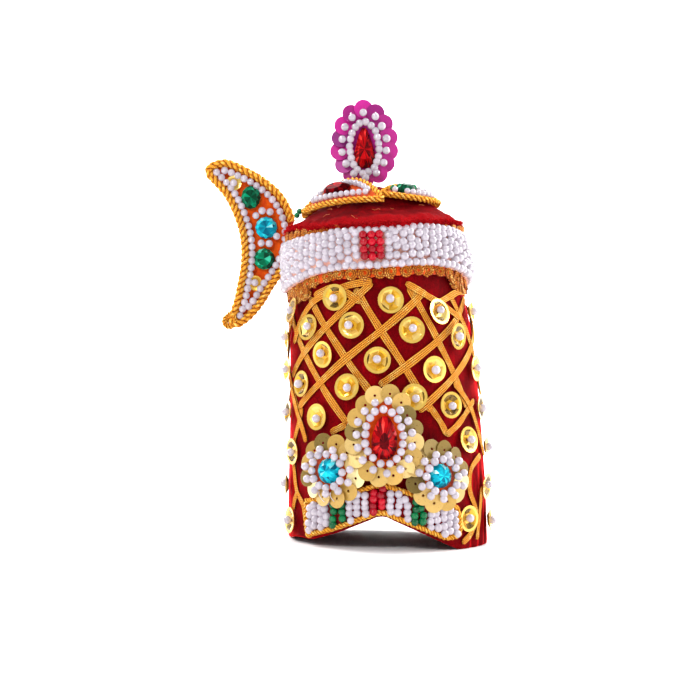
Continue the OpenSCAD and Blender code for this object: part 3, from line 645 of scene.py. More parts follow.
def lining():
    f = Finish("red lining cloth", roughness=0.9, specular_ior_level=0.2)
    p = f.effect(GRAIN, Fine=1800.0, Slow=180.0)
    f.feed("Base Color", f.ramp(p["Mottle"], (0, tint(88, 8, 14)), (1, tint(120, 16, 22))))
    return f.bumped(p["Grain"], 0.5, 0.2)


def felt(name, dark, bright, sheen=0.3):
    f = Finish(name, roughness=0.95, sheen_weight=sheen, sheen_roughness=0.5,
               specular_ior_level=0.15)
    p = f.effect(PILE, Patch=420.0, Tips=2200.0)
    f.feed("Base Color", f.ramp(p["Brushed"], (0, dark), (1, bright)))
    return f.bumped(p["Height"], 0.6, 0.3)


def bead(name, low, high, roughness, coat, gloss=0.5, depth=0.0, painted_glow=0.0, coat_ior=1.5):
    """A round bead; depth is the share of light that goes some way into it, and the glow strength
    paints light into it: the bead gives out its own colour all over, lightening its shaded side."""
    f = Finish(name, roughness=roughness, coat_weight=coat, coat_roughness=0.06,
               specular_ior_level=gloss, subsurface_weight=depth, emission_strength=painted_glow,
               subsurface_radius=(1.0, 0.95, 0.98), subsurface_scale=1.6 * MM,
               coat_ior=coat_ior)
    p = f.effect(GRAIN, Fine=2200.0, Slow=900.0)
    colour = f.shaded(f.ramp(f.tone(), (0, low), (1, high)), p["Mottle"],
                      (0, (0.9, 0.9, 0.92, 1)), (1, (1.04, 1.03, 1.04, 1)))
    f.feed("Base Color", colour)
    # Painted glow: the bead's colour is given out as light as well.
    if painted_glow:
        f.feed("Emission Color", colour)
    return f.bumped(p["Grain"], 0.12, 0.05)


def braid(name, ribs, wraps, slant, dark, mid, bright, metal):
    """Metal thread wound round ribs: painted light and shade, painted glints where smoother."""
    f = Finish(name, metallic=metal)
    p = f.effect(THREAD, Ribs=ribs, Wraps=wraps, Slant=slant)
    # The ramp turns the painted light and shade into colour, and the painted glints blend to pale
    # gold.
    colour = f.ramp(p["Lit"], (0.26, dark), (0.5, mid), (0.82, bright))
    f.feed("Base Color", f.blend(p["Glint"], colour, tint(255, 226, 120)))
    f.feed("Roughness", map_range(f.t, p["Glint"], 1.6, -0.6))
    return f.bumped(p["Height"], 0.9, 0.22)


def foil(name, low, mid, high, rings, rough, metal, bump=0.12):
    f = Finish(name, metallic=metal, coat_weight=0.3, coat_roughness=0.08)
    p = f.effect(GROOVES, Rings=rings)
    # The tone picks each face's colour; on cups and on flower and plume sequins it holds painted
    # light and shade.
    colour = f.ramp(f.tone(), (0, low), (0.5, mid), (1, high))
    f.feed("Base Color", f.shaded(colour, p["Scuff"], (0, (0.94, 0.94, 0.92, 1)),
                                  (1, (1.03, 1.03, 1.02, 1))))
    f.feed("Roughness", map_range(f.t, p["Scuff"], 0.0, 1.0, (rough * 0.8, rough * 1.3)))
    return f.bumped(p["Height"], bump, 0.03)


def stone(name, deep, body, bright, flash, gloss=0.15):
    """Foil-backed cut stone: each facet is painted with its own share of light."""
    f = Finish(name, metallic=0.15, roughness=0.26, specular_ior_level=gloss)
    p = f.effect(GRAIN, Fine=1500.0, Slow=700.0)
    facet = f.ramp(f.tone(), (0, deep), (0.45, body), (0.8, bright), (1, flash))
    f.feed("Base Color", f.shaded(facet, p["Mottle"], (0, grey(0.72)), (1, grey(1.1))))
    return f.bumped(p["Grain"], 0.05, 0.02)


LINING = lining()
# The last colour given to each velvet is painted sheen where the pile is seen from the side.
VELVET = velvet("red velvet", tint(98, 0, 5), tint(130, 0, 9), tint(168, 0, 12), 0.15,
                tint(255, 0, 10), tint(255, 6, 12))
# The cap's rim colour is a painted sheen.
CAP_VELVET = velvet("cap velvet", tint(66, 0, 3), tint(110, 0, 7), tint(156, 2, 11), 0.06,
                    tint(255, 6, 10), tint(140, 0, 10), rim=tint(168, 2, 13))
PILE_FIBRE = felt("velvet fibre", tint(150, 0, 12), tint(220, 6, 20), 0.0)
ORANGE_FELT = felt("orange felt", tint(206, 60, 0), tint(246, 98, 4))
BAND_FELT = felt("band lining", tint(214, 150, 138), tint(240, 184, 160))
RED_FELT = felt("red felt", tint(120, 4, 14), tint(170, 14, 22))
PINK_FELT = felt("pink felt", tint(150, 20, 110), tint(205, 50, 160))
# Pearls have a painted glow that lightens their shaded sides.
PEARL = bead("pearl bead", tint(156, 147, 155), tint(174, 165, 173), 0.2, 1.0, depth=0.4,
             painted_glow=0.5, coat_ior=1.9)
RED_BEAD = bead("red bead", tint(150, 0, 20), tint(206, 0, 34), 0.1, 0.25, gloss=0.25)
GREEN_BEAD = bead("green bead", tint(0, 82, 44), tint(0, 124, 68), 0.1, 0.3, gloss=0.25)
WHITE_THREAD = bead("pale sewing thread", tint(228, 222, 226), tint(250, 246, 248), 0.5, 0.0)
GOLD_FIBRE = bead("loose gold thread", tint(190, 84, 10), tint(226, 128, 30), 0.35, 0.2)
LATTICE_BRAID = braid("ribbed gold braid", 4.0, 1450.0, 1.0, tint(76, 32, 0),
                      tint(198, 102, 3), tint(255, 190, 60), 0.4)
ROPE_BRAID = braid("twisted gold braid", 3.0, 900.0, 1.6, tint(112, 54, 0),
                   tint(226, 136, 14), tint(255, 200, 70), 0.5)
LACE_THREAD = braid("gold lace thread", 1.0, 1300.0, 1.0, tint(84, 34, 0),
                    tint(164, 74, 0), tint(222, 138, 18), 0.3)
CUP_FOIL = foil("gold cup foil", tint(60, 42, 0), tint(246, 186, 34), tint(255, 238, 150),
                0.0, 0.2, 0.6, 0.03)
FLAT_FOIL = foil("pale gold foil", tint(92, 80, 26), tint(208, 164, 76), tint(255, 236, 170),
                 12.0, 0.34, 0.4)
PINK_FOIL = foil("magenta foil", tint(128, 14, 108), tint(196, 24, 140), tint(216, 30, 156),
                 12.0, 0.38, 0.3)
RED_STONE = stone("red cut stone", tint(74, 0, 6), tint(168, 0, 10), tint(214, 6, 14),
                  tint(255, 60, 50))
LEAF_RED_STONE = stone("dark red cut stone", tint(60, 0, 5), tint(140, 0, 10), tint(200, 6, 14),
                       tint(255, 70, 60), 0.02)
GREEN_STONE = stone("green cut stone", tint(0, 64, 40), tint(0, 122, 82), tint(0, 178, 126),
                    tint(90, 240, 200))
AQUA_STONE = stone("aqua cut stone", tint(0, 104, 134), tint(0, 196, 222), tint(40, 236, 250),
                   tint(200, 255, 255))

# Templates of the sewn things, face up: beads and fibres 1 mm, the others at their own size
TEMPLATES = []


def kept_as_template(o):
    """Hidden from the picture, and taken away once everything is sewn on."""
    o.hide_render = True
    TEMPLATES.append(o)
    return o


def round_bead(name, sides, rings):
    bm = bmesh.new()
    bmesh.ops.create_uvsphere(bm, u_segments=sides, v_segments=rings, radius=0.5 * MM)
    bmesh.ops.rotate(bm, verts=bm.verts, matrix=Matrix.Rotation(math.pi / 2, 3, "X"))
    m = bpy.data.meshes.new(name)
    bm.to_mesh(m)
    bm.free()
    m.polygons.foreach_set("use_smooth", [True] * len(m.polygons))
    return kept_as_template(put_in_scene(name, m))


def sequin(name, rings, sides, thickness):
    """A disc from rings of (radius, height, corners or 0), from the edge to the hole, closed
    underneath. Corners 6 draws that ring as a hexagon."""
    verts, uv = [], []
    t = np.arange(sides) * 2 * np.pi / sides
    for lift in (0.0, -thickness):
        for r, z, corners in rings:
            reach = np.full(sides, r)
            if corners:
                part = 2 * np.pi / corners
                reach = r * np.cos(part / 2) / np.cos((t % part) - part / 2)
            for a, q in zip(t, reach):
                verts.append((q * np.cos(a), q * np.sin(a), z + lift))
                uv.append((r / rings[0][0], a / (2 * np.pi)))
    n, faces = len(rings), []
    for k in range(n - 1):
        for i in range(sides):
            j, top, under = (i + 1) % sides, k * sides, (n + k) * sides
            faces += [(top + i, top + j, top + sides + j, top + sides + i),
                      (under + i, under + sides + i, under + sides + j, under + j)]
    for i in range(sides):
        j, rim, hole, hole_under = (i + 1) % sides, n * sides, (n - 1) * sides, (2 * n - 1) * sides
        faces += [(i, rim + i, rim + j, j), (hole + i, hole + j, hole_under + j, hole_under + i)]
    return kept_as_template(face_outwards(mesh_object(name, verts, faces, uv=uv, smooth=False)))


# Height shares of a stone's belt and of its second row of corners; where the rows stand
BELT_SHARE, SECOND_SHARE, FOOT_SHARE, SECOND_SPREAD = 0.3, 0.68, 0.97, 0.42


def cut_stone(name, outline, height, table, seed, low_table=0.0, light=0.42, dark_table=False):
    """A cut stone on its outline: girdle, two rows of crown facets and a flat table, in which
    painted tones show the facets at its back as a star about its middle."""
    p = np.asarray(outline, float)
    n = len(p)
    mid = (p + np.roll(p, -1, 0)) / 2
    c = p.mean(0) + [0.0, low_table]
    wide = 1 - (1 - table) * SECOND_SPREAD
    rows = [np.c_[p * FOOT_SHARE + c * (1 - FOOT_SHARE), np.zeros(n)],
            np.c_[p, np.full(n, BELT_SHARE * height)],
            np.c_[c + (mid - c) * wide * 1.01, np.full(n, SECOND_SHARE * height)],
            np.c_[c + (p - c) * table, np.full(n, height)]]
    verts = np.vstack(rows + [[[c[0], c[1], 0.0]], [[c[0], c[1], height]]])
    faces = []
    for i in range(n):
        j, h = (i + 1) % n, (i - 1) % n
        faces += [(i, j, n + j, n + i), (n + i, n + j, 2 * n + i),
                  (2 * n + h, n + i, 2 * n + i, 3 * n + i), (2 * n + i, 3 * n + j, 3 * n + i),
                  (4 * n, j, i), (4 * n + 1, 3 * n + i, 3 * n + j)]
    o = face_outwards(mesh_object(name, verts, faces, smooth=False), weld=0)
    r = np.random.default_rng(seed)
    tones = []
    # Painted light: each facet's tone is brighter the more it faces one side, with a random share.
    for facet in o.data.polygons:
        painted_light_facing = 0.5 * (facet.normal[1] - facet.normal[0])
        tone = min(1, max(0, light + 0.35 * painted_light_facing + r.random() - 0.5))
        in_table = facet.center[2] > height * 0.99 * MM
        tones.append(tone * (0.15 if dark_table and in_table else 1))
    return kept_as_template(set_tones(o, tones))


def ellipse(n, w, h):
    t = np.arange(n) * 2 * np.pi / n
    return np.c_[w / 2 * np.cos(t), h / 2 * np.sin(t)]


# Share of the length, then half width as a share, from the round end to the narrow one
PEAR = ((0, 0.02, 0.07, 0.14, 0.24, 0.36, 0.48, 0.6, 0.72, 0.84, 0.94, 1),
        (0.24, 0.46, 0.74, 0.93, 1, 0.97, 0.87, 0.75, 0.62, 0.48, 0.32, 0.14))
LENS = ((0, 0.03, 0.1, 0.2, 0.32, 0.44, 0.56, 0.68, 0.8, 0.91, 1),
        (0.3, 0.5, 0.75, 0.93, 1, 1, 0.95, 0.84, 0.69, 0.48, 0.2))


def drop(shape, length, width):
    """Outline of a long stone, its narrow end up and its middle at 0.44 of its length."""
    y = (np.array(shape[0]) - 0.44) * length
    x = np.array(shape[1]) * width / 2
    return np.r_[np.c_[x, y], np.c_[-x[::-1], y[::-1]]]


def fibre_template():
    """A bent hair 1 mm long, rooted at 0 and pointing out along Z."""
    steps, sides, verts, faces = 4, 3, [], []
    for t in np.arange(steps + 1) / steps:
        r = 0.05 * (1 - 0.7 * t)
        verts += [(r * math.cos(a) + 0.28 * t * t, r * math.sin(a), t)
                  for a in np.arange(sides) * math.tau / sides]
    for k in range(0, steps * sides, sides):
        faces += [(k + i, k + (i + 1) % sides, k + sides + (i + 1) % sides, k + sides + i)
                  for i in range(sides)]
    faces += [(2, 1, 0), tuple(steps * sides + i for i in range(sides))]
    return kept_as_template(mesh_object("fibre", verts, faces))


def coin_template():
    """A loop of lace thread wound into a flat coin 2.2 mm in radius, its middle open."""
    turns, steps, sides, thread = 2.4, 52, 6, 0.36
    t = np.linspace(0, 1, steps)
    r, a = 0.55 + 1.65 * t, t * turns * 2 * np.pi
    mid = np.stack([r * np.cos(a), r * np.sin(a), 0.35 + 0.12 * np.sin(a * 3)], 1)
    way = unit(np.gradient(mid, axis=0))
    side = np.stack([way[:, 1], -way[:, 0], 0 * a], 1)
    up = np.cross(side, way)
    q = np.arange(sides) * 2 * np.pi / sides
    ring = (mid[:, None] + thread * (np.cos(q)[None, :, None] * side[:, None]
                                     + np.sin(q)[None, :, None] * up[:, None]))
    uv = np.stack([np.tile(np.arange(sides) / sides, steps),
                   np.repeat(a * 1.4 * MM, sides)], 1)
    o = mesh_object("lace coin", ring.reshape(-1, 3), skin_faces(steps, sides, False), uv=uv)
    return kept_as_template(face_outwards(o, weld=0))


SMALL_BEAD = round_bead("small bead", 10, 7)
LARGE_BEAD = round_bead("large bead", 14, 10)
FLAT_SEQUIN = sequin("flat sequin", [(3.2, 0.06, 0), (3.12, 0.1, 0), (0.6, 0.1, 0),
                                     (0.42, 0.02, 0)], 28, 0.16)
CUP_RIM, CUP_FLOOR, CUP_SIDES = 3.3, 1.5, 6
CUP_SEQUIN = sequin("cup sequin", [(4.35, 1.5, 0), (3.4, 1.46, 0), (3.2, 1.36, CUP_SIDES),
                                   (1.8, 0.56, CUP_SIDES), (0.5, 0.52, 0)], 24, 0.2)
SMALL_CUP = sequin("small cup sequin", [(2.6, 0.9, 0), (2.0, 0.7, 0), (1.0, 0.3, CUP_SIDES),
                                        (0.4, 0.28, 0)], 18, 0.15)
FIBRE, COIN = fibre_template(), coin_template()


def set_stones(name, stones, material):
    """Each stone is (template, place, frame); its foot lies on the place."""
    placed = []
    for template, place, turn in stones:
        m = template.data.copy()
        t = Matrix(np.array(turn).T.tolist()).to_4x4()
        t.translation = Vector(np.asarray(place, float) * MM)
        m.transform(t)
        m.materials.clear()
        m.materials.append(material)
        placed.append(put_in_scene(name, m))
    return join(name, placed) if len(placed) > 1 else placed[0]


def sewn_beads(name, material, spots, frames, spread, sizes, nodes, slot):
    """Round beads at the spots, each hanging a little its own way."""
    turns = [loose(f, spread) for f in frames]
    sizes = [[sizes[0] + rng.normal(0, sizes[1])] * 3 for _ in spots]
    finish_piece(sew(name, LARGE_BEAD, material, spots, turns, sizes), nodes, slot)


# Velvet tube: angles of the pleats at the right, and of two at the left with their half widths
PLEATS, PLEAT_HALF, LEFT_PLEATS = (57, 66, 75, 85, 96), 2.6, ((-84, 4.0), (-108, 5.0))
# How far out and how high the points round the cut edge of the hem lie
HEM_ROUND, HEM_ROLL = 0.7, ((-1.72, 0.2), (-1.0, 0.0), (-0.28, 0.2))


def dent(a, z):
    """Soft dents all over and pleats near the hem, always inwards."""
    w = signed(a)
    soft = -0.16 * (1 + sind(5 * w + 4 * z + 20) * cosd(3 * w - 3.1 * z))
    right = sum(hump(w - 0.12 * z, c, PLEAT_HALF) for c in PLEATS)
    left = sum(hump(w, c, half) for c, half in LEFT_PLEATS)
    return (soft - 0.85 * np.clip(1 - z / 42, 0, 1) * right
            - 0.5 * np.clip(1 - z / 60, 0, 1) * left)


def tube_top(a):
    return CAP_CENTRE[2] + cap_tilt(on_tube(a, 105.0)[..., 0]) - 0.35


def velvet_tube():
    n, levels, inner = 300, 84, 26
    a = np.arange(n) * 360 / n
    low, high = hem(a), tube_top(a)

    def heights(t):
        return (low + HEM_ROUND)[:, None] + (high - low - HEM_ROUND)[:, None] * t[None]

    z = heights(np.linspace(0, 1, levels))
    outer = on_tube(a[:, None], z, dent(a[:, None], z))
    inside = on_tube(a[:, None], heights(np.linspace(1, 0, inner)), -WALL)
    roll = [on_tube(a, low + lift, out + dent(a, low + lift) * (1 + out / 2))[:, None]
            for out, lift in HEM_ROLL]
    rows = np.concatenate([outer, inside] + roll, axis=1)
    o = section_tube("velvet_tube", rows, VELVET)
    o.data.materials.append(LINING)
    for p in o.data.polygons:
        p.material_index = int(levels <= p.vertices[0] % rows.shape[1] < levels + inner - 1)
    finish_piece(face_outwards(o), ["crown_body"], "velvet")


# Cap: how far its edge curls up beside the crescent, and points round the raw edge, each out
# from it and down from it
EDGE_CURL, CURL_ANGLE = 1.4, -66
LIP = ((0.45, 0.45), (0.5, 1.0), (0.2, 1.6), (-0.6, 1.7))
FIBRES = 6500


def cap_rim(a):
    """Radius of the raw edge, pulled out over the lace in front, and the share of that pull."""
    w = signed(a)
    front, sides = hump(w, 14, 32.0, 4), hump(w, 4, 66.0, 6)
    ragged = 0.2 * sind(9 * w + 30) + 0.18 * sind(23 * w) + 0.14 * sind(41 * w + 70)
    return CAP_RADIUS + 0.1 + 0.5 * sides + 1.7 * front + ragged, front


def rim_lift(a):
    return hump(signed(a), CURL_ANGLE, 16.0)


def near_rim(share):
    """0 inside the cap, then rising to 1 at its rim."""
    return np.clip((share - 0.8) / 0.2, 0, 1)


def cap_wrinkles(a, share):
    """Height of the cap cloth's dents: a deep one right of the front, a ridge behind it, one
    at the left and small ones all round. The rim is raised where the edge curls up."""
    w = signed(a)
    deep = hump(w, 22, 17.0) * hump(share, 0.72, 0.13)
    ridge = hump(w, 20, 26.0) * hump(share, 0.48, 0.1)
    left = hump(w, -62, 16.0) * hump(share, 0.84, 0.09)
    small = sind(7 * w + 25) * cosd(3 * w) + 0.7 * sind(13 * w + 160 * share)
    curl = 1.1 * rim_lift(a) * near_rim(share)
    return -1.3 * (deep - curl) + 0.5 * ridge - 0.7 * left - 0.2 * share ** 3 * (1.5 + small)


def velvet_cap():
    n, rings = 300, 56
    a = np.arange(n) * 360 / n
    rim, front = cap_rim(a)
    shares = np.linspace(0.02, 1, rings)[None]

    def skin(share, thick):
        r = (CAP_RADIUS - thick) * np.minimum(share, 1)
        r = r + (rim - CAP_RADIUS)[:, None] * near_rim(share) ** 2 * (0.6 if thick else 1)
        x, y = cap_ring(a[:, None], r)
        z = CAP_CENTRE[2] + cap_tilt(x) + (CAP_RISE - thick) * dome(share)
        if not thick:
            lumps = 0.6 * sind(29 * a + 10) * sind(17 * a + 70) + 0.4 * sind(11 * a)
            roll = 0.55 * hump(share, 0.95, 0.045) * (1 + lumps[:, None])
            z = z + cap_wrinkles(a[:, None], share) + roll
        return np.stack([x, y, z], -1)

    lip = []
    for out, down in LIP:
        lumps = 0.42 * sind(31 * a + 90 * down) * sind(13 * a) + 0.26 * sind(67 * a + 50 * down)
        x, y = cap_ring(a, rim + out + lumps)
        z = CAP_CENTRE[2] + cap_tilt(x) - down * (0.6 + 0.5 * front) + 0.25 + 0.5 * lumps
        lip.append(np.stack([x, y, z + EDGE_CURL * rim_lift(a)], -1)[:, None])
    rows = np.concatenate([skin(shares, 0)] + lip + [skin(shares[:, ::-1], CAP_CLOTH)], axis=1)
    m = rows.shape[1]
    top = CAP_CENTRE[2] + CAP_RISE
    verts = np.vstack([rows.reshape(-1, 3), [[CAP_CENTRE[0], 0, top]],
                       [[CAP_CENTRE[0], 0, top - CAP_CLOTH]]])
    faces = grid_faces(n, m, True)
    for i in range(n):
        j = (i + 1) % n
        faces += [(n * m, j * m, i * m), (n * m + 1, i * m + m - 1, j * m + m - 1)]
    o = face_outwards(mesh_object("velvet_cap_cloth", verts, faces, CAP_VELVET))
    # Painted sheen on the rolled rim: the tone rises from 0 to 1 over 2.2 mm, from a wavy line
    # about 2.6 mm inside the cap's radius.
    x, y, _ = np.array([p.center for p in o.data.polygons]).T / MM
    painted_sheen_from = CAP_RADIUS - 2.6 + 0.6 * np.sin(x * 1.7) * np.cos(y * 2.1)
    set_tones(o, np.clip((np.hypot(x - CAP_CENTRE[0], y) - painted_sheen_from) / 2.2, 0, 1))
    finish_piece(o, ["velvet_cap"], "cap_velvet")
    edge_fibres = cap_raw_edge()


def cap_raw_edge():
    """Loose pile and cut warp ends that stand out of the cap's raw edge."""
    a = rng.random(FIBRES) * 360
    rim, front = cap_rim(a)
    x, y = cap_ring(a, rim - 0.3 + 0.8 * rng.random(FIBRES))
    z = CAP_CENTRE[2] + cap_tilt(x) - (0.9 + 1.3 * front) * rng.random(FIBRES) ** 1.3 + 0.7
    z = z + EDGE_CURL * rim_lift(a)
    turns = []
    for b in a:
        out = np.array([sind(b), -cosd(b), rng.normal(-0.25, 0.55)])
        out = unit(out + np.array([cosd(b), sind(b), 0]) * rng.normal(0, 0.55))
        side = unit(np.cross(out, rng.normal(size=3)))
        turns.append((side, np.cross(out, side), out))
    long = 0.6 + 1.5 * rng.random(FIBRES) ** 2
    thick = np.full(FIBRES, 2.0)
    return finish_piece(sew("cap_raw_edge", FIBRE, PILE_FIBRE, np.stack([x, y, z], 1), turns,
                            np.stack([thick, thick, long], 1)), slot="cap_velvet")


# Pearl band: columns of pearls all round, with a patch of red ones in front
COLUMNS, ROW_PITCH, BAND_BEAD = 75, 2.3, 2.9
# Height that the rows at the edges take up, that of the lowest row between them, and what those
# rows leave free in all
EDGE_ROOM, FIRST_ROW, ROWS_FREE = 5.0, 3.9, 6.3
PATCH_ANGLE, PATCH_COLUMNS, PATCH_ROWS, PATCH_BEAD = -2.6, 3, 4, 2.88
# The single rows at its edges: the edge, height from it, pearls, their size, how far out
EDGE_ROWS = ((BAND_LOW, 1.5, 76, 2.8, 2.1), (BAND_HIGH, -1.15, 77, 2.6, 1.8))


def band_puff(a, z):
    """How far the padded band stands out: most halfway up it and at the right, and hardly
    beside the crescent."""
    low, high = edge(a, BAND_LOW), edge(a, BAND_HIGH)
    most = (1.25 + 0.6 * hump(signed(a), 85, 32.0, 4)) * (1 - hump(signed(a), -112, 26.0, 4))
    return most * np.sin(np.pi * np.clip((z - low) / (high - low), 0, 1)) ** 0.7


def band_beads():
    white, red = [], []
    for i in range(COLUMNS):
        a = PATCH_ANGLE + i * 360 / COLUMNS
        low, high = float(edge(a, BAND_LOW)), float(edge(a, BAND_HIGH))
        rows = max(4, round((high - low - EDGE_ROOM) / ROW_PITCH))
        in_patch = (i + PATCH_COLUMNS // 2) % COLUMNS < PATCH_COLUMNS
        for row in range(rows):
            z = low + FIRST_ROW + (high - low - ROWS_FREE) * (row + 0.1) / (rows - 0.75)
            out = 1.75 + float(band_puff(a, z))
            b, w, far = (a + rng.normal(0, 0.34), z + rng.normal(0, 0.22),
                         out + rng.normal(0, 0.12))
            if in_patch and row < PATCH_ROWS:
                red.append((a + rng.normal(0, 0.2), z + rng.normal(0, 0.15), out + 0.15,
                            PATCH_BEAD))
            else:
                white.append((b, w + (0.5 if i % 2 else -0.5), far,
                              BAND_BEAD + rng.normal(0, 0.06)))
    for row, up, count, size, out in EDGE_ROWS:
        for i in range(count):
            a = i * 360 / count
            z = float(edge(a, row)) + up
            far = out + 0.7 * float(band_puff(a, z))
            white.append((a + rng.normal(0, 0.15), z + rng.normal(0, 0.12), far,
                          size + rng.normal(0, 0.06)))
    for name, rows, material, nodes, slot in (
            ("band_pearls", white, PEARL, ["pearl_band"], "pearl"),
            ("red_patch_beads", red, RED_BEAD, ["red_patch"], "red_bead")):
        places = [on_tube(a, z, out) for a, z, out, size in rows]
        turns = [loose(tube_frame(a, z), BAND_LOOSE) for a, z, out, size in rows]
        finish_piece(sew(name, SMALL_BEAD, material, places, turns,
                         [[size, size * 0.96, size] for *_, size in rows]), nodes, slot)


# Length of one degree round the crown, near enough for the run of a braid
DEGREE = 0.56


def tube_strip(name, a, low, high, out_low, out_high, material, levels=8, puff=0.0):
    """A closed strip of cloth on the tube, between two heights and two offsets."""
    n = len(a)
    t = np.linspace(0, 1, levels)
    z = low[:, None] + (high - low)[:, None] * t[None]
    outer = on_tube(a[:, None], z, out_high + puff * np.sin(np.pi * t)[None] ** 0.7)
    inner = on_tube(a[:, None], z[:, ::-1], out_low)
    rows = np.concatenate([outer, inner], axis=1)
    m = rows.shape[1]
    closed = abs((a[-1] - a[0]) % 360 - (360 - 360 / n)) < 1e-6
    length = np.r_[0, np.cumsum(np.diff(a))] * DEGREE * MM
    uv = np.stack([np.tile(np.r_[t, t[::-1]], n), np.repeat(length, m)], 1)
    return face_outwards(mesh_object(name, rows.reshape(-1, 3), skin_faces(n, m, closed),
                                     material, uv=uv))


def band_backing():
    a = np.arange(180) * 2.0
    middle = 92.0
    o = tube_strip("band_backing", a, edge(a, BAND_LOW) + 0.4, edge(a, BAND_HIGH) - 0.4,
                   0.3, 1.8, BAND_FELT, puff=band_puff(a, middle)[:, None])
    finish_piece(o, slot="orange_felt")


# Lace above and below the band: coins in a row on a strip of felt
LACE_COINS, COIN_TURN = 42, 21


def lace_drop(a):
    """The lace hangs lower where its ends turn down, left and right of the front."""
    return 2.6 * hump(signed(a), -57, 7.0, 4) + 2.4 * hump(signed(a), 60, 8.0, 4)


def sewn_coins(name, spots, out, spread, size, wander):
    """Lace coins at (angle, height), each at its own turn."""
    places, turns, sizes = [], [], []
    for b, z in spots:
        places.append(on_tube(b, z, out))
        turns.append(spun(loose(tube_frame(b, z), spread), rng.random() * 360))
        sizes.append([size + (rng.normal(0, wander) if wander else 0)] * 3)
    return sew(name, COIN, LACE_THREAD, places, turns, sizes)


def lace(name, heights, out, node_name, strip_low, strip_high):
    a = np.arange(240) * 1.5
    cloth = tube_strip(name + "_cloth", a, strip_low(a), strip_high(a), out - 0.35,
                       out + 0.1, ORANGE_FELT, levels=6, puff=0.15)
    angles = [i * 360 / LACE_COINS + rng.normal(0, 0.5) for i in range(LACE_COINS)]
    spots = ((b, float(heights(b)) + rng.normal(0, 0.15)) for b in angles)
    finish_piece(sewn_coins(name, spots, out, FLAT_LOOSE, 1.0, 0.05), [node_name], "gold_braid")
    finish_piece(cloth, slot="orange_felt")


def lower_lace():
    lace("lace_below_coins", lambda a: edge(a, BAND_LOW) - 1.15, 0.55, "lace_below_band",
         lambda a: edge(a, BAND_LOW) - 2.7 - lace_drop(a) + 0.5 * np.abs(cosd(COIN_TURN * a)),
         lambda a: edge(a, BAND_LOW) + 0.6)
    ends = [(b + 1.5 * k, float(edge(b, BAND_LOW)) - 2.9 - 1.9 * k)
            for b in (-63, -59, -55, -51, 54, 58, 62, 66) for k in range(2)]
    finish_piece(sewn_coins("lace_end_coins", ends, 0.9, END_COIN_LOOSE, 0.72, 0),
                 slot="gold_braid")


def upper_lace():
    def tucked(a):
        """Right of the front the lace lies under the cap's rim, behind the pearls."""
        return 1.2 * hump(signed(a), 52, 52.0, 6)

    lace("lace_above_coins", lambda a: tube_top(a) - 1.4 - 1.0 * cap_rim(a)[1] - tucked(a), 1.15,
         "lace_above_band", lambda a: edge(a, BAND_HIGH) - 1.6,
         lambda a: tube_top(a) - 1.2 - tucked(a))


# Gold lattice: angle and height of both ends of each braid, those that fall to the right first
FALLING = ((-74, 76, -22.5, 40.1), (-49, 81, -8, 50), (-15, 84, 26, 45), (19, 85, 55, 46),
           (52, 83, 92, 45), (86, 78, 146, 42), (119, 75, 172, 42), (152, 75, 205, 42),
           (185, 75, 238, 42), (218, 75, 271, 42), (251, 75, 300, 42))
RISING = ((-4, 86, -71, 55), (30, 84, -60, 45), (72, 82.5, -4, 53), (100, 80, 18, 45),
          (133, 75, 76, 42), (166, 75, 113, 42), (199, 75, 146, 42), (232, 75, 179, 42),
          (265, 75, 212, 42), (288, 74, 245, 42))
# Turns of the braid under the band: angle and height of the points that each passes
BRAID_TURNS = (((-4, 86.6), (-22, 84.6), (-42, 80.5), (-56, 74), (-66, 66)),
               ((-44, 81.5), (-30, 84.2), (-20, 82.5), (-12, 79.5)),
               ((17, 86.2), (30, 82.6), (44, 79), (56, 75.5)),
               ((74, 84.5), (60, 84.2), (44, 81.4), (32, 78)))
# Ends of the braid that run down the sides to the hem: angle and height
BRAID_TAILS = (((20.7, 49.4), (26.2, 45.8), (31.9, 41.7), (35.5, 37.2)),
               ((35.5, 37.2), (44.8, 40.8), (54.7, 45.1), (63.4, 48.6)),
               ((44, 54.3), (51.7, 49.9), (59.4, 45.1), (66.5, 37.4), (72.9, 30.2)),
               ((68.5, 30.3), (56.2, 26.6), (52.4, 21.9), (53.1, 17.9), (59.9, 11.1), (53.3, 5.2),
                (44.7, 2.2)),
               ((66.9, 19.7), (64.1, 15.3), (61.3, 8.8), (58.1, 2.8)),
               ((-72.1, 50.9), (-64.3, 44.8), (-57.2, 39.2), (-52.1, 33.6)),
               ((-57.6, 44.5), (-61.9, 39.1), (-67, 33.6), (-68.6, 28.6), (-65.9, 22.5),
                (-62.8, 16.9), (-55.9, 12.8), (-52.6, 7.3), (-49.1, 4)),
               ((-62.8, 16), (-67.5, 10.9)),
               ((-22.9, 40.1), (-27.8, 38.7), (-33, 37.1)))
BRAID_WIDTH, TURN_WIDTH, TAIL_WIDTH, BRAID_RIBS = 2.55, 2.35, 2.25, 4
# Heights off the velvet, one braid over the other
FALLING_OUT, RISING_OUT, TURN_OUT, TAIL_STEP = 0.12, 0.4, 0.68, 0.24


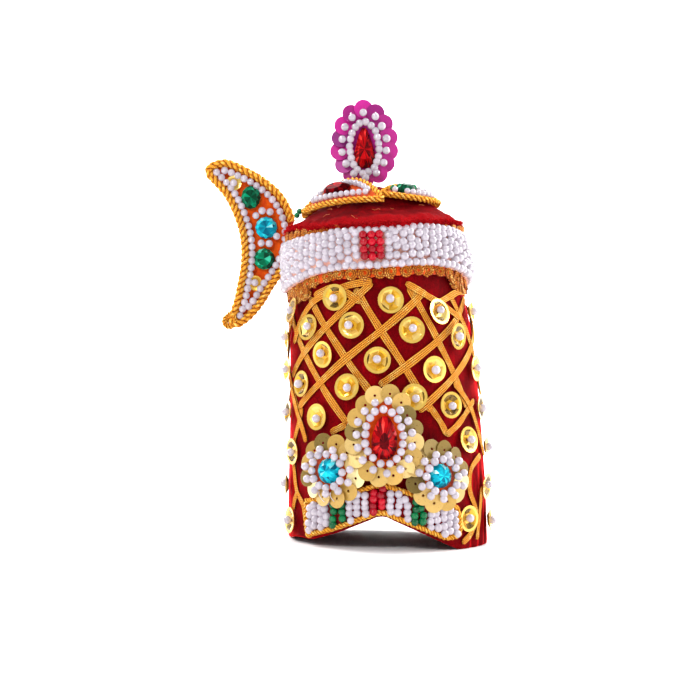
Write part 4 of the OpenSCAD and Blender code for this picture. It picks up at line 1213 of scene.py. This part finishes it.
def braid_strip(path, width, base, seed):
    """Ribbed flat braid laid along a path of (angle, height); returns verts, faces and uv."""
    r = np.random.default_rng(seed)
    path = catmull(path, 12) if len(path) > 2 else np.linspace(path[0], path[1], 40)
    n = max(12, int(steps_of(path * [DEGREE, 1]).sum() / 0.9))
    path = spaced(path, n)
    sway = 0.22 * np.sin(np.linspace(0, 3.1 * np.pi, n) + r.random() * 6)
    path = path + np.stack([sway, 0 * sway], 1)
    mid = on_tube(path[:, 0], path[:, 1], base)
    out = np.array([tube_frame(a, z)[2] for a, z in path])
    side = unit(np.cross(unit(np.gradient(mid, axis=0)), out))
    u = np.linspace(-1, 1, 17)
    top = 0.28 + 0.17 * np.abs(np.sin((u + 1) / 2 * BRAID_RIBS * np.pi)) - 0.12 * u ** 6
    across, high = np.r_[u, 0.96, -0.96] * width / 2, np.r_[top, 0, 0]
    flutter = 1 + 0.08 * np.sin(np.linspace(0, 5 * np.pi, n) + r.random() * 6)
    tip = np.minimum(1, np.minimum(np.arange(n), np.arange(n)[::-1]) / 2 + 0.55)
    rows = np.stack([mid + side * (x * flutter * tip)[:, None] + out * h
                     for x, h in zip(across, high)], 1)
    m = len(across)
    run = np.r_[0, np.cumsum(steps_of(mid))] * MM
    uv = np.stack([np.tile(np.r_[(u + 1) / 2, 1, 0], n), np.repeat(run, m)], 1)
    return rows.reshape(-1, 3), skin_faces(n, m, False), uv


def merged(name, parts, material):
    faces, shift = [], 0
    for verts, part_faces, _ in parts:
        faces += [tuple(k + shift for k in q) for q in part_faces]
        shift += len(verts)
    verts, _, uv = zip(*parts)
    return face_outwards(mesh_object(name, np.vstack(verts), faces, material,
                                     uv=np.vstack(uv)), weld=0)


def gold_lattice():
    parts = []
    for rows, out, seed in ((FALLING, FALLING_OUT, 0), (RISING, RISING_OUT, 40)):
        parts += [braid_strip((row[:2], row[2:]), BRAID_WIDTH, out, seed + k)
                  for k, row in enumerate(rows)]
    parts += [braid_strip(row, TURN_WIDTH, TURN_OUT, 80 + k)
              for k, row in enumerate(BRAID_TURNS)]
    finish_piece(merged("gold_lattice_braid", parts, LATTICE_BRAID), ["gold_lattice"],
                 "gold_braid")
    tails = [braid_strip(row, TAIL_WIDTH, FALLING_OUT + TAIL_STEP * (k % 3), 120 + k)
             for k, row in enumerate(BRAID_TAILS)]
    finish_piece(merged("lattice_tails", tails, LATTICE_BRAID), slot="gold_braid")


# Cup sequins, each with its pearl: angle, height, 1 where it sits on braid or lace
CUPS = ((-65, 76.5, 1), (-28, 81, 0), (6, 80.5, 0), (37, 77, 0), (72, 78, 1), (-73, 67.5, 1),
        (-49, 71, 0), (-18, 72, 0), (17, 71, 0), (48, 69.5, 1), (-73, 57, 1), (-37, 62.5, 0),
        (-4, 61, 0), (29, 58.5, 0), (68, 59, 0), (-56, 52.5, 0), (-22, 52, 0), (15.2, 49.4, 1),
        (39, 47, 0), (-42, 42, 0), (52, 35.5, 0), (49, 10, 0), (-76, 42.5, 0), (-66, 30, 0),
        (-77, 18.5, 0), (-69, 7, 0), (71, 46, 0), (80, 33, 0), (72, 20, 0), (78, 8.5, 0),
        (109, 70.5, 0), (142, 70.5, 0), (175, 70.5, 0), (208, 70.5, 0), (241, 70.5, 0),
        (125, 61, 0), (158, 61, 0), (191, 61, 0), (224, 61, 0))
CUP_OUT, RAISED_OUT, CUP_PEARL = 0.15, 1.0, 2.7
# Cups this far round from the front often get painted dark slopes; how upright such a slope stands
SHADED_FROM, SHADED_SHARE, UPRIGHT_SLOPE = 24, 0.75, 0.72


def cup_tones(turn, shaded):
    """Painted reflection in each face of a cup: pale rim, six slopes, floor, now and then a dark
    facet; shaded cups are painted dark above and below their pearl."""
    slopes = 0.4 + 0.42 * rng.random(CUP_SIDES)
    floor_tone, painted_dark_facets = 0.42 + 0.2 * rng.random(), rng.random(CUP_SIDES) < 0.12
    part = 360 // CUP_SIDES
    tones = []
    for p in CUP_SEQUIN.data.polygons:
        x, y = p.center[0] / MM, p.center[1] / MM
        r, facet = math.hypot(x, y), int(math.degrees(math.atan2(y, x)) % 360 // part)
        way = math.radians(facet * part + part / 2)
        upright = abs((turn[0] * math.cos(way) + turn[1] * math.sin(way))[2])
        tone = 0.66 if r > CUP_RIM else floor_tone if r < CUP_FLOOR else slopes[facet]
        # Painted dark reflections on upright slopes of shaded cups and on a few random facets.
        dark = shaded and upright > UPRIGHT_SLOPE or painted_dark_facets[facet] and r > 2.4
        if dark and CUP_FLOOR <= r <= CUP_RIM:
            tone = 0.02 + 0.1 * rng.random()
        tones.append(tone)
    return tones


def cups_and_pearls():
    cups, beads, turns, sizes = [], [], [], []
    for a, z, raised in CUPS:
        f = spun(tube_frame(a, z), rng.random() * 360 / CUP_SIDES)
        lean = loose(f, CUP_LOOSE)
        foot = on_tube(a, z, RAISED_OUT if raised else CUP_OUT)
        cup = set_stones("cup", [(CUP_SEQUIN, foot, lean)], CUP_FOIL)
        shaded = abs(a) > SHADED_FROM and rng.random() < SHADED_SHARE
        cups.append(set_tones(cup, cup_tones(lean, shaded)))
        turns.append(lean)
        aside = rng.normal(0, 0.35, 2)
        beads.append(foot + lean[2] * 1.95 + lean[0] * aside[0] + lean[1] * aside[1])
        sizes.append([CUP_PEARL + rng.normal(0, 0.08)] * 3)
    finish_piece(join("cup_sequin_foils", cups), ["cup_sequins"], "gold_sequin")
    finish_piece(sew("cup_sequin_pearls", LARGE_BEAD, PEARL, beads, turns, sizes),
                 ["cup_pearls"], "pearl")


# Front panel: its first and last angle, where its right corner starts to round and how much
PANEL_FROM, PANEL_TO, CORNER_FROM, CORNER_ROUND = -49, 40, 30, 3.0
PANEL_BEAD, PANEL_PITCH = 2.62, 2.25
# Stripes of beads: first angle, last angle, columns, colour
STRIPES = ((-48.2, -32.4, 4, "white"), (-32.4, -22.8, 2, "green"), (-22.8, -10.4, 3, "white"),
           (-10.4, -1.4, 2, "red"), (-1.4, 11, 3, "white"), (11, 20, 2, "green"),
           (20, 39, 5, "white"))


def panel_corner(a):
    """How far the panel's lower edge rises at its right corner."""
    return CORNER_ROUND * np.clip((a - CORNER_FROM) / (PANEL_TO - CORNER_FROM), 0, 1) ** 1.5


def front_panel():
    a = np.linspace(PANEL_FROM, PANEL_TO, 80)
    backing = tube_strip("panel_backing_cloth", a, panel_low(a) + 0.1 + panel_corner(a),
                         panel_high(a) - 0.1, 0.12, 0.95, RED_FELT, levels=6)
    finish_piece(backing, ["panel_backing"], "velvet")
    back = a[::-1]
    up = np.stack([a, panel_high(a) - 0.55], 1)
    down = np.stack([back, panel_low(back) + 0.5 + panel_corner(back)], 1)
    loop = catmull(np.vstack([up[::3], [[40.6, 9.5]], down[::3], [[-49.6, 8.5]]]), 4)
    path = on_tube(loop[:, 0], loop[:, 1], 1.75)
    finish_piece(cord("panel_edge_braid", path, ROPE_BRAID, 0.98, 2, 0.34, 3.4, 0.35, True),
                 ["panel_braid"], "gold_braid")
    found = {"white": [], "green": [], "red": []}
    for first, last, columns, colour in STRIPES:
        for c in range(columns):
            b = first + (last - first) * (c + 0.5) / columns
            low = float(panel_low(b)) + 1.1 + float(panel_corner(b))
            high = float(panel_high(b)) - 1.3
            rows = max(4, round((high - low) / PANEL_PITCH))
            for k in range(rows):
                z = low + (high - low) * (k + 0.5) / rows + (0.55 if c % 2 else -0.55)
                out = 2.2 + rng.normal(0, 0.16)
                found[colour].append((b + rng.normal(0, 0.4), z + rng.normal(0, 0.18), out,
                                      PANEL_BEAD + rng.normal(0, 0.07)))
    for colour, name, material, slot in (("white", "panel_pearls", PEARL, "pearl"),
                                         ("green", "panel_green_beads", GREEN_BEAD, "green_bead"),
                                         ("red", "panel_red_beads", RED_BEAD, "red_bead")):
        rows = found[colour]
        turns = [loose(tube_frame(b, z), PANEL_LOOSE) for b, z, out, size in rows]
        finish_piece(sew(name, LARGE_BEAD, material, [on_tube(*r[:3]) for r in rows], turns,
                         [[r[3]] * 3 for r in rows]), ["panel_beads_" + colour], slot)


def pad(name, outline, at, layers, material, middle=0.0):
    """A felt pad from layers of (share of its outline, height), the last one underneath."""
    rows = [[at(x * share, middle + (y - middle) * share, z) for x, y in outline]
            for share, z in layers]
    return section_tube(name, np.array(rows).transpose(1, 0, 2), material)


# Flowers: angle, height, half width and half height of the ring of sequins, how many sequins,
# inner pearls and outer pearls, extra height, half sizes of the inner ring of pearls
FLOWERS = {"centre": (-1.7, 36.8, 9.2, 13, 16, 17, 15, 0.9, (5.5, 8.7)),
           "left": (-30.4, 25, 9, 8.7, 12, 12, 11, 0, (5.4, 5.4)),
           "right": (26.3, 24.4, 8.9, 8.7, 12, 12, 11, 0, (5.4, 5.4))}
PETAL_FROM, PEARLS_FROM, BEAD = 3.6, 4.8, 2.62
# The felt and the outer pearls lie inside the ring of sequins by so much, across and upright
FELT_IN, PEARLS_IN = 1.5, (1.1, 1.5)


def flower(which, stone_template, stone_material, slot, shaded, lit):
    """Sequins are counted from the top towards the right: which of them are painted dark as in
    shade and which are painted bright as catching the light."""
    angle, height, rx, rz, petals, inner, outer, extra, inner_half = FLOWERS[which]
    tall = which == "centre"

    def place(x, y, out):
        a = angle + np.degrees(x / (tube_radius(height) + 3))
        return a, height + y, on_tube(a, height + y, out + extra)

    felt = pad(f"flower_{which}_pad", oval_ring(40, rx - FELT_IN, rz - FELT_IN, 0, 0),
               lambda x, y, out: place(x, y, out)[2],
               ((1.0, 1.1 - extra), (1.02, 2.0), (0.97, 3.0), (0.5, 3.35), (0.04, 3.35),
                (0.04, 1.1 - extra)), ORANGE_FELT)
    finish_piece(face_outwards(felt), [f"flower_{which}_felt"], "orange_felt")
    narrow = 0.12 if tall else 0.0
    spots, turns, tones = [], [], []
    for k, (x, y) in enumerate(oval_ring(petals, rx, rz, narrow, 0.5)):
        x, y = x + rng.normal(0, 0.25), y + rng.normal(0, 0.25)
        y *= 1.06 if tall and y > 0 else 1
        a, z, p = place(x, y, PETAL_FROM + 0.25 + 0.22 * (k % 2) + 0.1 * rng.random())
        f = spun(tube_frame(a, z), math.degrees(math.atan2(y / rz, x / rx)))
        spots.append(p)
        turns.append(tipped(f, rng.normal(9, 3), rng.normal(5, 5)))
        # Painted shade on the shaded sequins and a painted highlight on the lit ones.
        tones.append(0.08 + 0.1 * rng.random() if k in shaded else 1.0 if k in lit
                     else 0.4 + 0.3 * rng.random())
    finish_piece(sew(f"flower_{which}_sequins", FLAT_SEQUIN, FLAT_FOIL, spots, turns,
                     tones=tones), [f"flower_{which}_petals"], "gold_sequin")
    spots, turns, sizes = [], [], []
    for ring in ((inner, *inner_half, 0, 0),
                 (outer, rx - PEARLS_IN[0], rz - PEARLS_IN[1], narrow / 2, 0.5)):
        for x, y in oval_ring(*ring):
            x, y = x + rng.normal(0, 0.12), y + rng.normal(0, 0.12)
            a, z, p = place(x, y, PEARLS_FROM + BEAD / 2)
            spots.append(p)
            turns.append(loose(tube_frame(a, z), JEWEL_LOOSE))
            sizes.append([BEAD + rng.normal(0, 0.07)] * 3)
    finish_piece(sew(f"flower_{which}_beads", LARGE_BEAD, PEARL, spots, turns, sizes),
                 [f"flower_{which}_pearls"], "pearl")
    a, z, p = place(0, -1.2 if tall else 0.0, PETAL_FROM - 0.05)
    finish_piece(set_stones(f"flower_{which}_jewel", [(stone_template, p, tube_frame(a, z))],
                            stone_material), [f"flower_{which}_stone"], slot)


def flowers():
    flower("centre", cut_stone("centre drop", drop(LENS, 13.8, 8.2), 3.6, 0.38, 3,
                               low_table=-1.2, dark_table=True), RED_STONE, "red_stone",
           (2, 3, 12), ())
    flower("left", cut_stone("left round", ellipse(14, 8.2, 8.2), 3.2, 0.5, 5), AQUA_STONE,
           "aqua_stone", (8, 11), (3, 7))
    flower("right", cut_stone("right round", ellipse(14, 7.9, 7.9), 3.2, 0.5, 8), AQUA_STONE,
           "aqua_stone", (0, 1, 2, 8, 11), (3,))


# Crescent: outer edge x, z, then the edge at the crown x, z, from its upper tip down
CRESCENT = ((-65.8, 123.4, -63.5, 127.8), (-62.5, 120.1, -58.5, 128.8),
            (-59.4, 116.6, -52, 126.3), (-56.9, 112.4, -45, 122.4), (-54.8, 107.5, -38.6, 116.5),
            (-53.3, 102.3, -34.8, 108.5), (-52.7, 96.5, -34.6, 99.5), (-53, 91, -38, 91.5),
            (-53.8, 86, -42, 84.8), (-54.8, 80.4, -45, 79.5), (-56.2, 76, -49.5, 74),
            (-57.2, 73.2, -54, 70.9))
CRESCENT_Y, CRESCENT_FELT, CRESCENT_FRONT, ROPE_INSET = 14.0, 1.6, 13.9, 1.05
# Rows of pearls: how far in from the outer edge and from the edge at the crown, and their step
OUTER_ROW, INNER_ROW, PEARL_STEP, CRESCENT_BEAD = 3.5, 3.75, 2.42, 2.52
# Middle and radius of the band with its pearls, where the crescent passes it
BAND_MIDDLE, BAND_REACH = centre_x(92), tube_radius(90) + 4.1
# Stones: x, z, width. Cup sequins: x, z. Pearls at the tip and between the stones: x, z
CRESCENT_STONES = ((-50.2, 116.2, 6.8), (-44.6, 105.8, 7.7), (-45, 94.9, 7.5))
CRESCENT_CUPS = ((-56.3, 121), (-48, 86.6))
CRESCENT_SINGLE = ((-48.3, 109.9), (-46.2, 111.6), (-43.4, 111.3), (-46.2, 100.4),
                   (-43.4, 100.3), (-40.9, 102.9))


def crescent_edges():
    rows = np.array(CRESCENT, float)
    return catmull(rows[:, :2], 3), catmull(rows[:, 2:], 3)


def crescent_cloth():
    left, right = crescent_edges()
    limit = BAND_MIDDLE - math.sqrt(BAND_REACH ** 2 - CRESCENT_Y ** 2)
    near = (right[:, 1] > 74) & (right[:, 1] < 108)
    right[near, 0] = np.minimum(right[near, 0], limit)
    n, across = len(left), 12
    t = np.linspace(0, 1, across)
    face = left[:, None] + (right - left)[:, None] * t[None, :, None]
    puff = 0.5 * np.sin(np.pi * t)[None] * np.sin(np.pi * np.linspace(0, 1, n))[:, None]
    puff = puff + 0.12 * np.sin(face[..., 0] * 1.1) * np.sin(face[..., 1] * 0.9)
    front, back = (np.stack([face[..., 0], CRESCENT_Y + y, face[..., 1]], -1)
                   for y in (0.25 - puff * 0.35, CRESCENT_FELT + puff * 0.4))
    rows = np.concatenate([front, back[:, ::-1]], axis=1)
    o = mesh_object("crescent_cloth", rows.reshape(-1, 3), skin_faces(n, 2 * across, False),
                    ORANGE_FELT)
    finish_piece(face_outwards(o), ["crescent_felt"], "orange_felt")


def inset(path, other, d):
    """The path moved by d towards the other one."""
    return path + unit(other - path) * d


def crescent_ropes():
    """Rope round the face, a thinner one behind it and the curled end at its foot."""
    left, right = crescent_edges()
    tip, foot = (left[0] + right[0]) / 2, (left[-1] + right[-1]) / 2
    ring = np.vstack([inset(left, right, ROPE_INSET)[1:-1], [foot + [0.2, 0.6]],
                      inset(right, left, ROPE_INSET)[1:-1][::-1], [tip + [-0.25, 0.175]]])
    y = CRESCENT_Y - 1.0
    path = np.stack([ring[:, 0], np.full(len(ring), y), ring[:, 1]], 1)
    clear = np.hypot(path[:, 0] - BAND_MIDDLE, y) - BAND_REACH
    path = path[(clear > 0.95) | (path[:, 2] > 105.5)]
    path = np.roll(path, -1 - np.argmax(steps_of(path)), axis=0)
    main = cord("crescent_rope", catmull(path, 3), ROPE_BRAID, 1.5, 3, 0.34, 6.2, 0.35)
    back = cord("crescent_back_rope", catmull(path + [0, 2.3, 0], 2), ROPE_BRAID, 0.95, 2, 0.3,
                4.2, 0.4)
    t = np.linspace(0, 2.3, 46)
    knot = np.stack([foot[0] - 0.9 + (1.1 + 0.5 * t) * np.cos(math.tau * t),
                     y + 0.3 - 0.45 * t,
                     foot[1] + 1.0 + (1.1 + 0.6 * t) * np.sin(math.tau * t)], 1)
    end = cord("crescent_end_knot", knot, ROPE_BRAID, 0.85, 3, 0.4, 3.4, 0.35)
    finish_piece(join("crescent_rope", [main, back, end]), ["crescent_braid"], "gold_braid")


def crescent_jewels():
    left, right = crescent_edges()
    rows = np.vstack([along(inset(left, right, OUTER_ROW)[2:31], PEARL_STEP),
                      along(inset(right, left, INNER_ROW)[2:30], PEARL_STEP), CRESCENT_SINGLE])
    spots = []
    for x, z in rows:
        free = min(math.hypot(x - s[0], z - s[1]) - s[2] / 2 for s in CRESCENT_STONES)
        apart = min([math.hypot(x - q[0], z - q[2]) for q in spots] or [9])
        if free > 0.5 and apart > 1.95:
            spots.append((x, CRESCENT_FRONT - BEAD / 2 - rng.random() * 0.15, z))
    spots += [(x, CRESCENT_FRONT - 1.75, z) for x, z in CRESCENT_CUPS]
    sewn_beads("crescent_beads", PEARL, spots, [FACING] * len(spots), JEWEL_LOOSE,
               (CRESCENT_BEAD, 0.07), ["crescent_pearls"], "pearl")
    finish_piece(sew("crescent_cups", SMALL_CUP, CUP_FOIL,
                     [(x, CRESCENT_FRONT - 0.15, z) for x, z in CRESCENT_CUPS],
                     [loose(FACING, FLAT_LOOSE) for _ in CRESCENT_CUPS],
                     tones=0.6 + 0.2 * rng.random(len(CRESCENT_CUPS))),
                 ["crescent_sequins"], "gold_sequin")
    for k, (word, material, slot) in enumerate((("upper", GREEN_STONE, "green_stone"),
                                                ("middle", AQUA_STONE, "aqua_stone"),
                                                ("lower", GREEN_STONE, "green_stone"))):
        x, z, width = CRESCENT_STONES[k]
        tall = width * (1.2 if word == "upper" else 1.0)
        cut = cut_stone(word + " stone", ellipse(12, width, tall), 2.9, 0.64, 20 + k)
        finish_piece(set_stones(f"crescent_{word}_jewel", [(cut, (x, CRESCENT_FRONT, z), FACING)],
                                material), [f"crescent_{word}_stone"], slot)


# Leaves: tip x, tip y, other tip x, other tip y, place of the stone along it, bulge of the side
# at the plume and of the side at the rim as shares of the width, degrees by which the side at
# the plume is lifted, length and width of the stone
LEAVES = ((-32, -6, -5.6, -21.5, 0.47, 0.78, 0.26, 12, 11, 4.5),
          (-4.9, -16.2, 14, -4.4, 0.38, 0.5, 0.5, 0, 7.2, 3.5),
          (14, 4, -7, 20, 0.5, 0.5, 0.5, 0, 7.8, 3.9),
          (-9, 19, -32, 4, 0.5, 0.5, 0.5, 0, 7.8, 3.9))
LEAF_WIDTH, LEAF_FELT, LEAF_BEAD, LEAF_BOW = 12.0, 1.2, 2.1, 36.0
LEAF_LAYERS = ((0.93, 0.2), (0.96, 0.5), (0.96, LEAF_FELT - 0.1), (0.8, LEAF_FELT + 0.1),
               (0.1, LEAF_FELT + 0.25), (0.1, 0.0))
# The front leaf's stone leans forward and stands higher
STONE_TIP, STONE_LIFT, STONE_FOOT = 16.0, 0.7, 0.1


def leaf_frame(x0, y0, x1, y1, lifted):
    """Middle, directions and length of a leaf that lies on the cap between its tips."""
    x, y = (x0 + x1) / 2, (y0 + y1) / 2
    n = unit(np.array([-(cap_height(x + 2, y) - cap_height(x - 2, y)) / 4,
                       -(cap_height(x, y + 2) - cap_height(x, y - 2)) / 4, 1.0]))
    run = np.array([x1 - x0, y1 - y0, 0.0])
    u = unit(run - n * run.dot(n))
    side, c, s = np.cross(n, u), math.cos(math.radians(lifted)), math.sin(math.radians(lifted))
    v, face = side * c + n * s, n * c - side * s
    centre = np.array([x, y, float(cap_height(x, y))]) + n * (0.7 + lifted / 15)
    return centre, u, v, face, math.hypot(x1 - x0, y1 - y0) * 1.04


def leaves():
    cloths, ropes, pearls, greens, reds, emeralds = [], [], [], [], [], []
    for k, (*tips, stone_at, bulge_in, bulge_out, lifted, long, wide) in enumerate(LEAVES):
        c, u, v, face, length = leaf_frame(*tips, lifted)

        def at(x, y, z):
            """Point of the bowed leaf: along it, across it and out from its back."""
            return c + u * x + v * y + face * (math.sqrt((LEAF_BOW + z) ** 2 - x * x) - LEAF_BOW)

        half, inner, outer = length / 2, bulge_in * LEAF_WIDTH, bulge_out * LEAF_WIDTH
        middle, stone_x = (inner - outer) / 2, (stone_at - 0.5) * length
        t = np.linspace(-1, 1, 33)
        bow = 1 - t * t
        outline = np.vstack([np.c_[t * half, inner * bow],
                             np.c_[t[1:-1][::-1] * half, -outer * bow[1:-1][::-1]]])
        cloths.append(pad("leaf", outline, at, LEAF_LAYERS, ORANGE_FELT, middle))
        rope = [at(x, middle + (y - middle) * 0.97, LEAF_FELT * 0.5 + 0.55) for x, y in outline]
        ropes.append(cord("leaf rope", rope, ROPE_BRAID, 1.12, 3, 0.45, 5.2, 0.34, True))
        for side, bulge in ((-1, outer), (1, inner)) if k < 2 else ():
            run = np.linspace(-0.66, 0.66, 60)
            line = np.c_[run * half, side * (bulge * (1 - run ** 2) - 1.7 - LEAF_BEAD / 2)]
            for x, y in along(line, LEAF_BEAD + 0.08):
                if math.hypot((x - stone_x) / (long / 2 + 1.0),
                              (y - middle) / (wide / 2 + 0.7)) >= 1:
                    beads = greens if k == 1 and side > 0 and x < 4 else pearls
                    beads.append(at(x, y, LEAF_FELT + 0.15 + LEAF_BEAD / 2))
        stone = cut_stone("leaf stone", ellipse(14, long, wide), 2.7, 0.6, 30 + k, light=0.12)
        lean = math.asin(stone_x / LEAF_BOW)
        turn = (u * math.cos(lean) - face * math.sin(lean), v,
                face * math.cos(lean) + u * math.sin(lean))
        if k == 0:
            turn = tipped(turn, STONE_TIP, 0)
            greens += [at(-half - 1.2, y, LEAF_FELT + 1) for y in (0, -2.3)]
        foot = at(stone_x, middle, LEAF_FELT + (STONE_FOOT if k else STONE_LIFT))
        (emeralds if k % 2 else reds).append((stone, foot, turn))
    finish_piece(face_outwards(join("leaf_cloths", cloths)), ["leaves_felt"], "orange_felt")
    finish_piece(join("leaf_ropes", ropes), ["leaves_braid"], "gold_braid")
    for name, spots, material, nodes, slot in (
            ("leaf_beads", pearls, PEARL, ["leaves_pearls"], "pearl"),
            ("leaf_green_beads", greens, GREEN_BEAD, ["green_beads"], "green_bead")):
        sewn_beads(name, material, spots, [UPRIGHT] * len(spots), LEAF_LOOSE,
                   (LEAF_BEAD, 0.05), nodes, slot)
    finish_piece(set_stones("leaf_red_jewels", reds, LEAF_RED_STONE), ["leaf_red_stones"],
                 "red_stone")
    finish_piece(set_stones("leaf_green_jewels", emeralds, GREEN_STONE), ["leaf_green_stones"],
                 "green_stone")


PLUME_CENTRE, PLUME_LEAN = np.array([-11.4, -1.0, 134.0]), 3.0
# Painted shine of each sequin, from the top one towards the right
PLUME_PAINTED_SHINE = (1, 0.2, 0.35, 0.45, 0.5, 0.4, 0.75, 0.5, 0.3, 0.1, 0.5, 0.03, 0.95, 0.3)
# Rings of pearls: how many, half width, half height, turn, how far down
PLUME_PEARLS = ((14, 7.6, 11.0, 0.0, 0.6), (20, 4.9, 8.6, 0.5, 1.5))


def plume():
    lean = math.radians(PLUME_LEAN)
    u = np.array([math.cos(lean), 0, math.sin(lean)])
    v = np.array([-math.sin(lean), 0, math.cos(lean)])
    n = np.array([0, -1.0, 0])

    def at(x, y, z):
        return PLUME_CENTRE + u * x + v * y + n * z

    felt = pad("plume_cloth", oval_ring(40, 7.8, 12.7, 0, 0), at,
               ((0.97, 0.0), (1.0, 0.3), (0.99, 0.95), (0.5, 1.15), (0.05, 1.15), (0.05, 0)),
               PINK_FELT)
    finish_piece(face_outwards(felt), ["plume_felt"], "magenta_sequin")
    spots, turns = [], []
    for k, (x, y) in enumerate(oval_ring(14, 8.3, 11.9, 0.06, 0.0)):
        x, y = x + rng.normal(0, 0.2), y + rng.normal(0, 0.2)
        spots.append(at(x, y, 1.55 + 0.22 * (k % 2)))
        f = spun((u, v, n), math.degrees(math.atan2(y / 11.5, x / 8.3)))
        turns.append(tipped(f, rng.normal(8, 3), rng.normal(4, 4)))
    finish_piece(sew("plume_sequins", FLAT_SEQUIN, PINK_FOIL, spots, turns, tones=PLUME_PAINTED_SHINE),
                 ["plume_petals"], "magenta_sequin")
    spots = [at(x + rng.normal(0, 0.1), y - down + rng.normal(0, 0.1), 3.55)
             for count, rx, ry, turn, down in PLUME_PEARLS
             for x, y in oval_ring(count, rx, ry, 0, turn)]
    sewn_beads("plume_beads", PEARL, spots, [(u, v, n)] * len(spots), JEWEL_LOOSE,
               (BEAD, 0.07), ["plume_pearls"], "pearl")
    stone = cut_stone("plume drop", drop(PEAR, 13.6, 7.2), 3.6, 0.56, 41)
    finish_piece(set_stones("plume_jewel", [(stone, at(0, -2.3, 1.3), (u, v, n))], RED_STONE),
                 ["plume_stone"], "red_stone")


def loose_threads():
    """Cut ends of gold thread caught in the cap's pile, and pale sewing thread that runs from
    the left flower to the panel."""
    gold = []
    for _ in range(8):
        a, share = rng.uniform(-48, 52), rng.uniform(0.66, 0.94)
        path = []
        for _ in range(4):
            x, y = cap_ring(a, CAP_RADIUS * share)
            z = CAP_CENTRE[2] + cap_tilt(x) + CAP_RISE * dome(share) + cap_wrinkles(a, share)
            path.append((x, y - 0.3, z + 0.75 + 0.5 * rng.random()))
            a, share = a + rng.normal(1.2, 0.9), min(0.97, share + rng.normal(0.0, 0.02))
        gold.append(cord("gold end", catmull(path, 6), GOLD_FIBRE, 0.09, 2, 0.1, 2.0, 0.25))
    finish_piece(join("loose_gold_threads", gold), slot="gold_braid")
    pale = []
    for a, z, b, w in ((-34.8, 18.4, -33.2, 15.0), (-28.4, 18.2, -27.6, 15.4)):
        path = [on_tube(a + (b - a) * t, z + (w - z) * t, out)
                for t, out in ((0, 5.6), (0.3, 6.1), (0.7, 5.4), (1, 4.2))]
        pale.append(cord("pale thread", catmull(path, 6), WHITE_THREAD, 0.13, 2, 0.1, 2.0, 0.25))
    finish_piece(join("pale_sewing_threads", pale), slot="pearl")


# Lamps: name, place and the point they shine at in metres, power, size
CROWN_MIDDLE = (-0.015, 0, 0.07)
LAMPS = [("key", (-0.55, -0.8, 0.7), CROWN_MIDDLE, 2.3, 0.4),
         ("fill", (0.8, -0.5, 0.3), CROWN_MIDDLE, 1.3, 0.4),
         ("rim", (0.8, 0.12, 0.35), CROWN_MIDDLE, 3.2, 0.3),
         ("top", (0.0, -0.1, 1.1), CROWN_MIDDLE, 1.8, 0.8),
         ("sparkle", (-0.35, -0.7, 0.5), CROWN_MIDDLE, 1.8, 0.1),
         ("backdrop", (-1.2, 0.6, 1.4), (-0.3, 2.6, 0.4), 75.0, 1.0),
         ("backdrop", (1.2, 0.6, 1.4), (0.3, 2.6, 0.4), 75.0, 1.0)]


def studio():
    world = bpy.data.worlds.new("studio")
    scene.world = world
    world.use_nodes = True
    colour, strength = world.node_tree.nodes["Background"].inputs[:2]
    colour.default_value, strength.default_value = (0.95, 0.95, 1.0, 1), 0.55
    for name, place, aim, power, size in LAMPS:
        data = bpy.data.lights.new(name, "AREA")
        data.energy = power
        data.shape, data.size, data.size_y = "RECTANGLE", size, size
        o = put_in_scene(name, data)
        o.location = place
        o.rotation_mode = "QUATERNION"
        o.rotation_quaternion = (Vector(aim) - Vector(place)).to_track_quat("-Z", "Y")
    m = bpy.data.materials.new("pale floor")
    m.use_nodes = True
    surface = m.node_tree.nodes["Principled BSDF"].inputs
    surface["Base Color"].default_value = (0.95, 0.95, 0.95, 1)
    surface["Roughness"].default_value = 0.9
    # The floor runs back and curves up into a wall: y and z in metres
    sweep = [(-2.5, 0.0), (1.2, 0.0)] + [
        (1.2 + 1.2 * math.sin(t), 1.2 - 1.2 * math.cos(t)) for t in np.linspace(0.1, 1.5, 12)]
    sweep.append((2.4, 3.0))
    verts = [(x, y * 1000, z * 1000 - 0.05) for y, z in sweep for x in (-3500, 3500)]
    floor = mesh_object("floor", verts, grid_faces(len(sweep), 2, False), m)
    face_outwards(floor)
    scene.view_settings.view_transform = "Standard"
    scene.view_settings.look = "None"


velvet_tube()
velvet_cap()
band_beads()
band_backing()
lower_lace()
upper_lace()
gold_lattice()
cups_and_pearls()
front_panel()
flowers()
crescent_cloth()
crescent_ropes()
crescent_jewels()
leaves()
plume()
loose_threads()
for o in TEMPLATES:
    bpy.data.objects.remove(o)
studio()
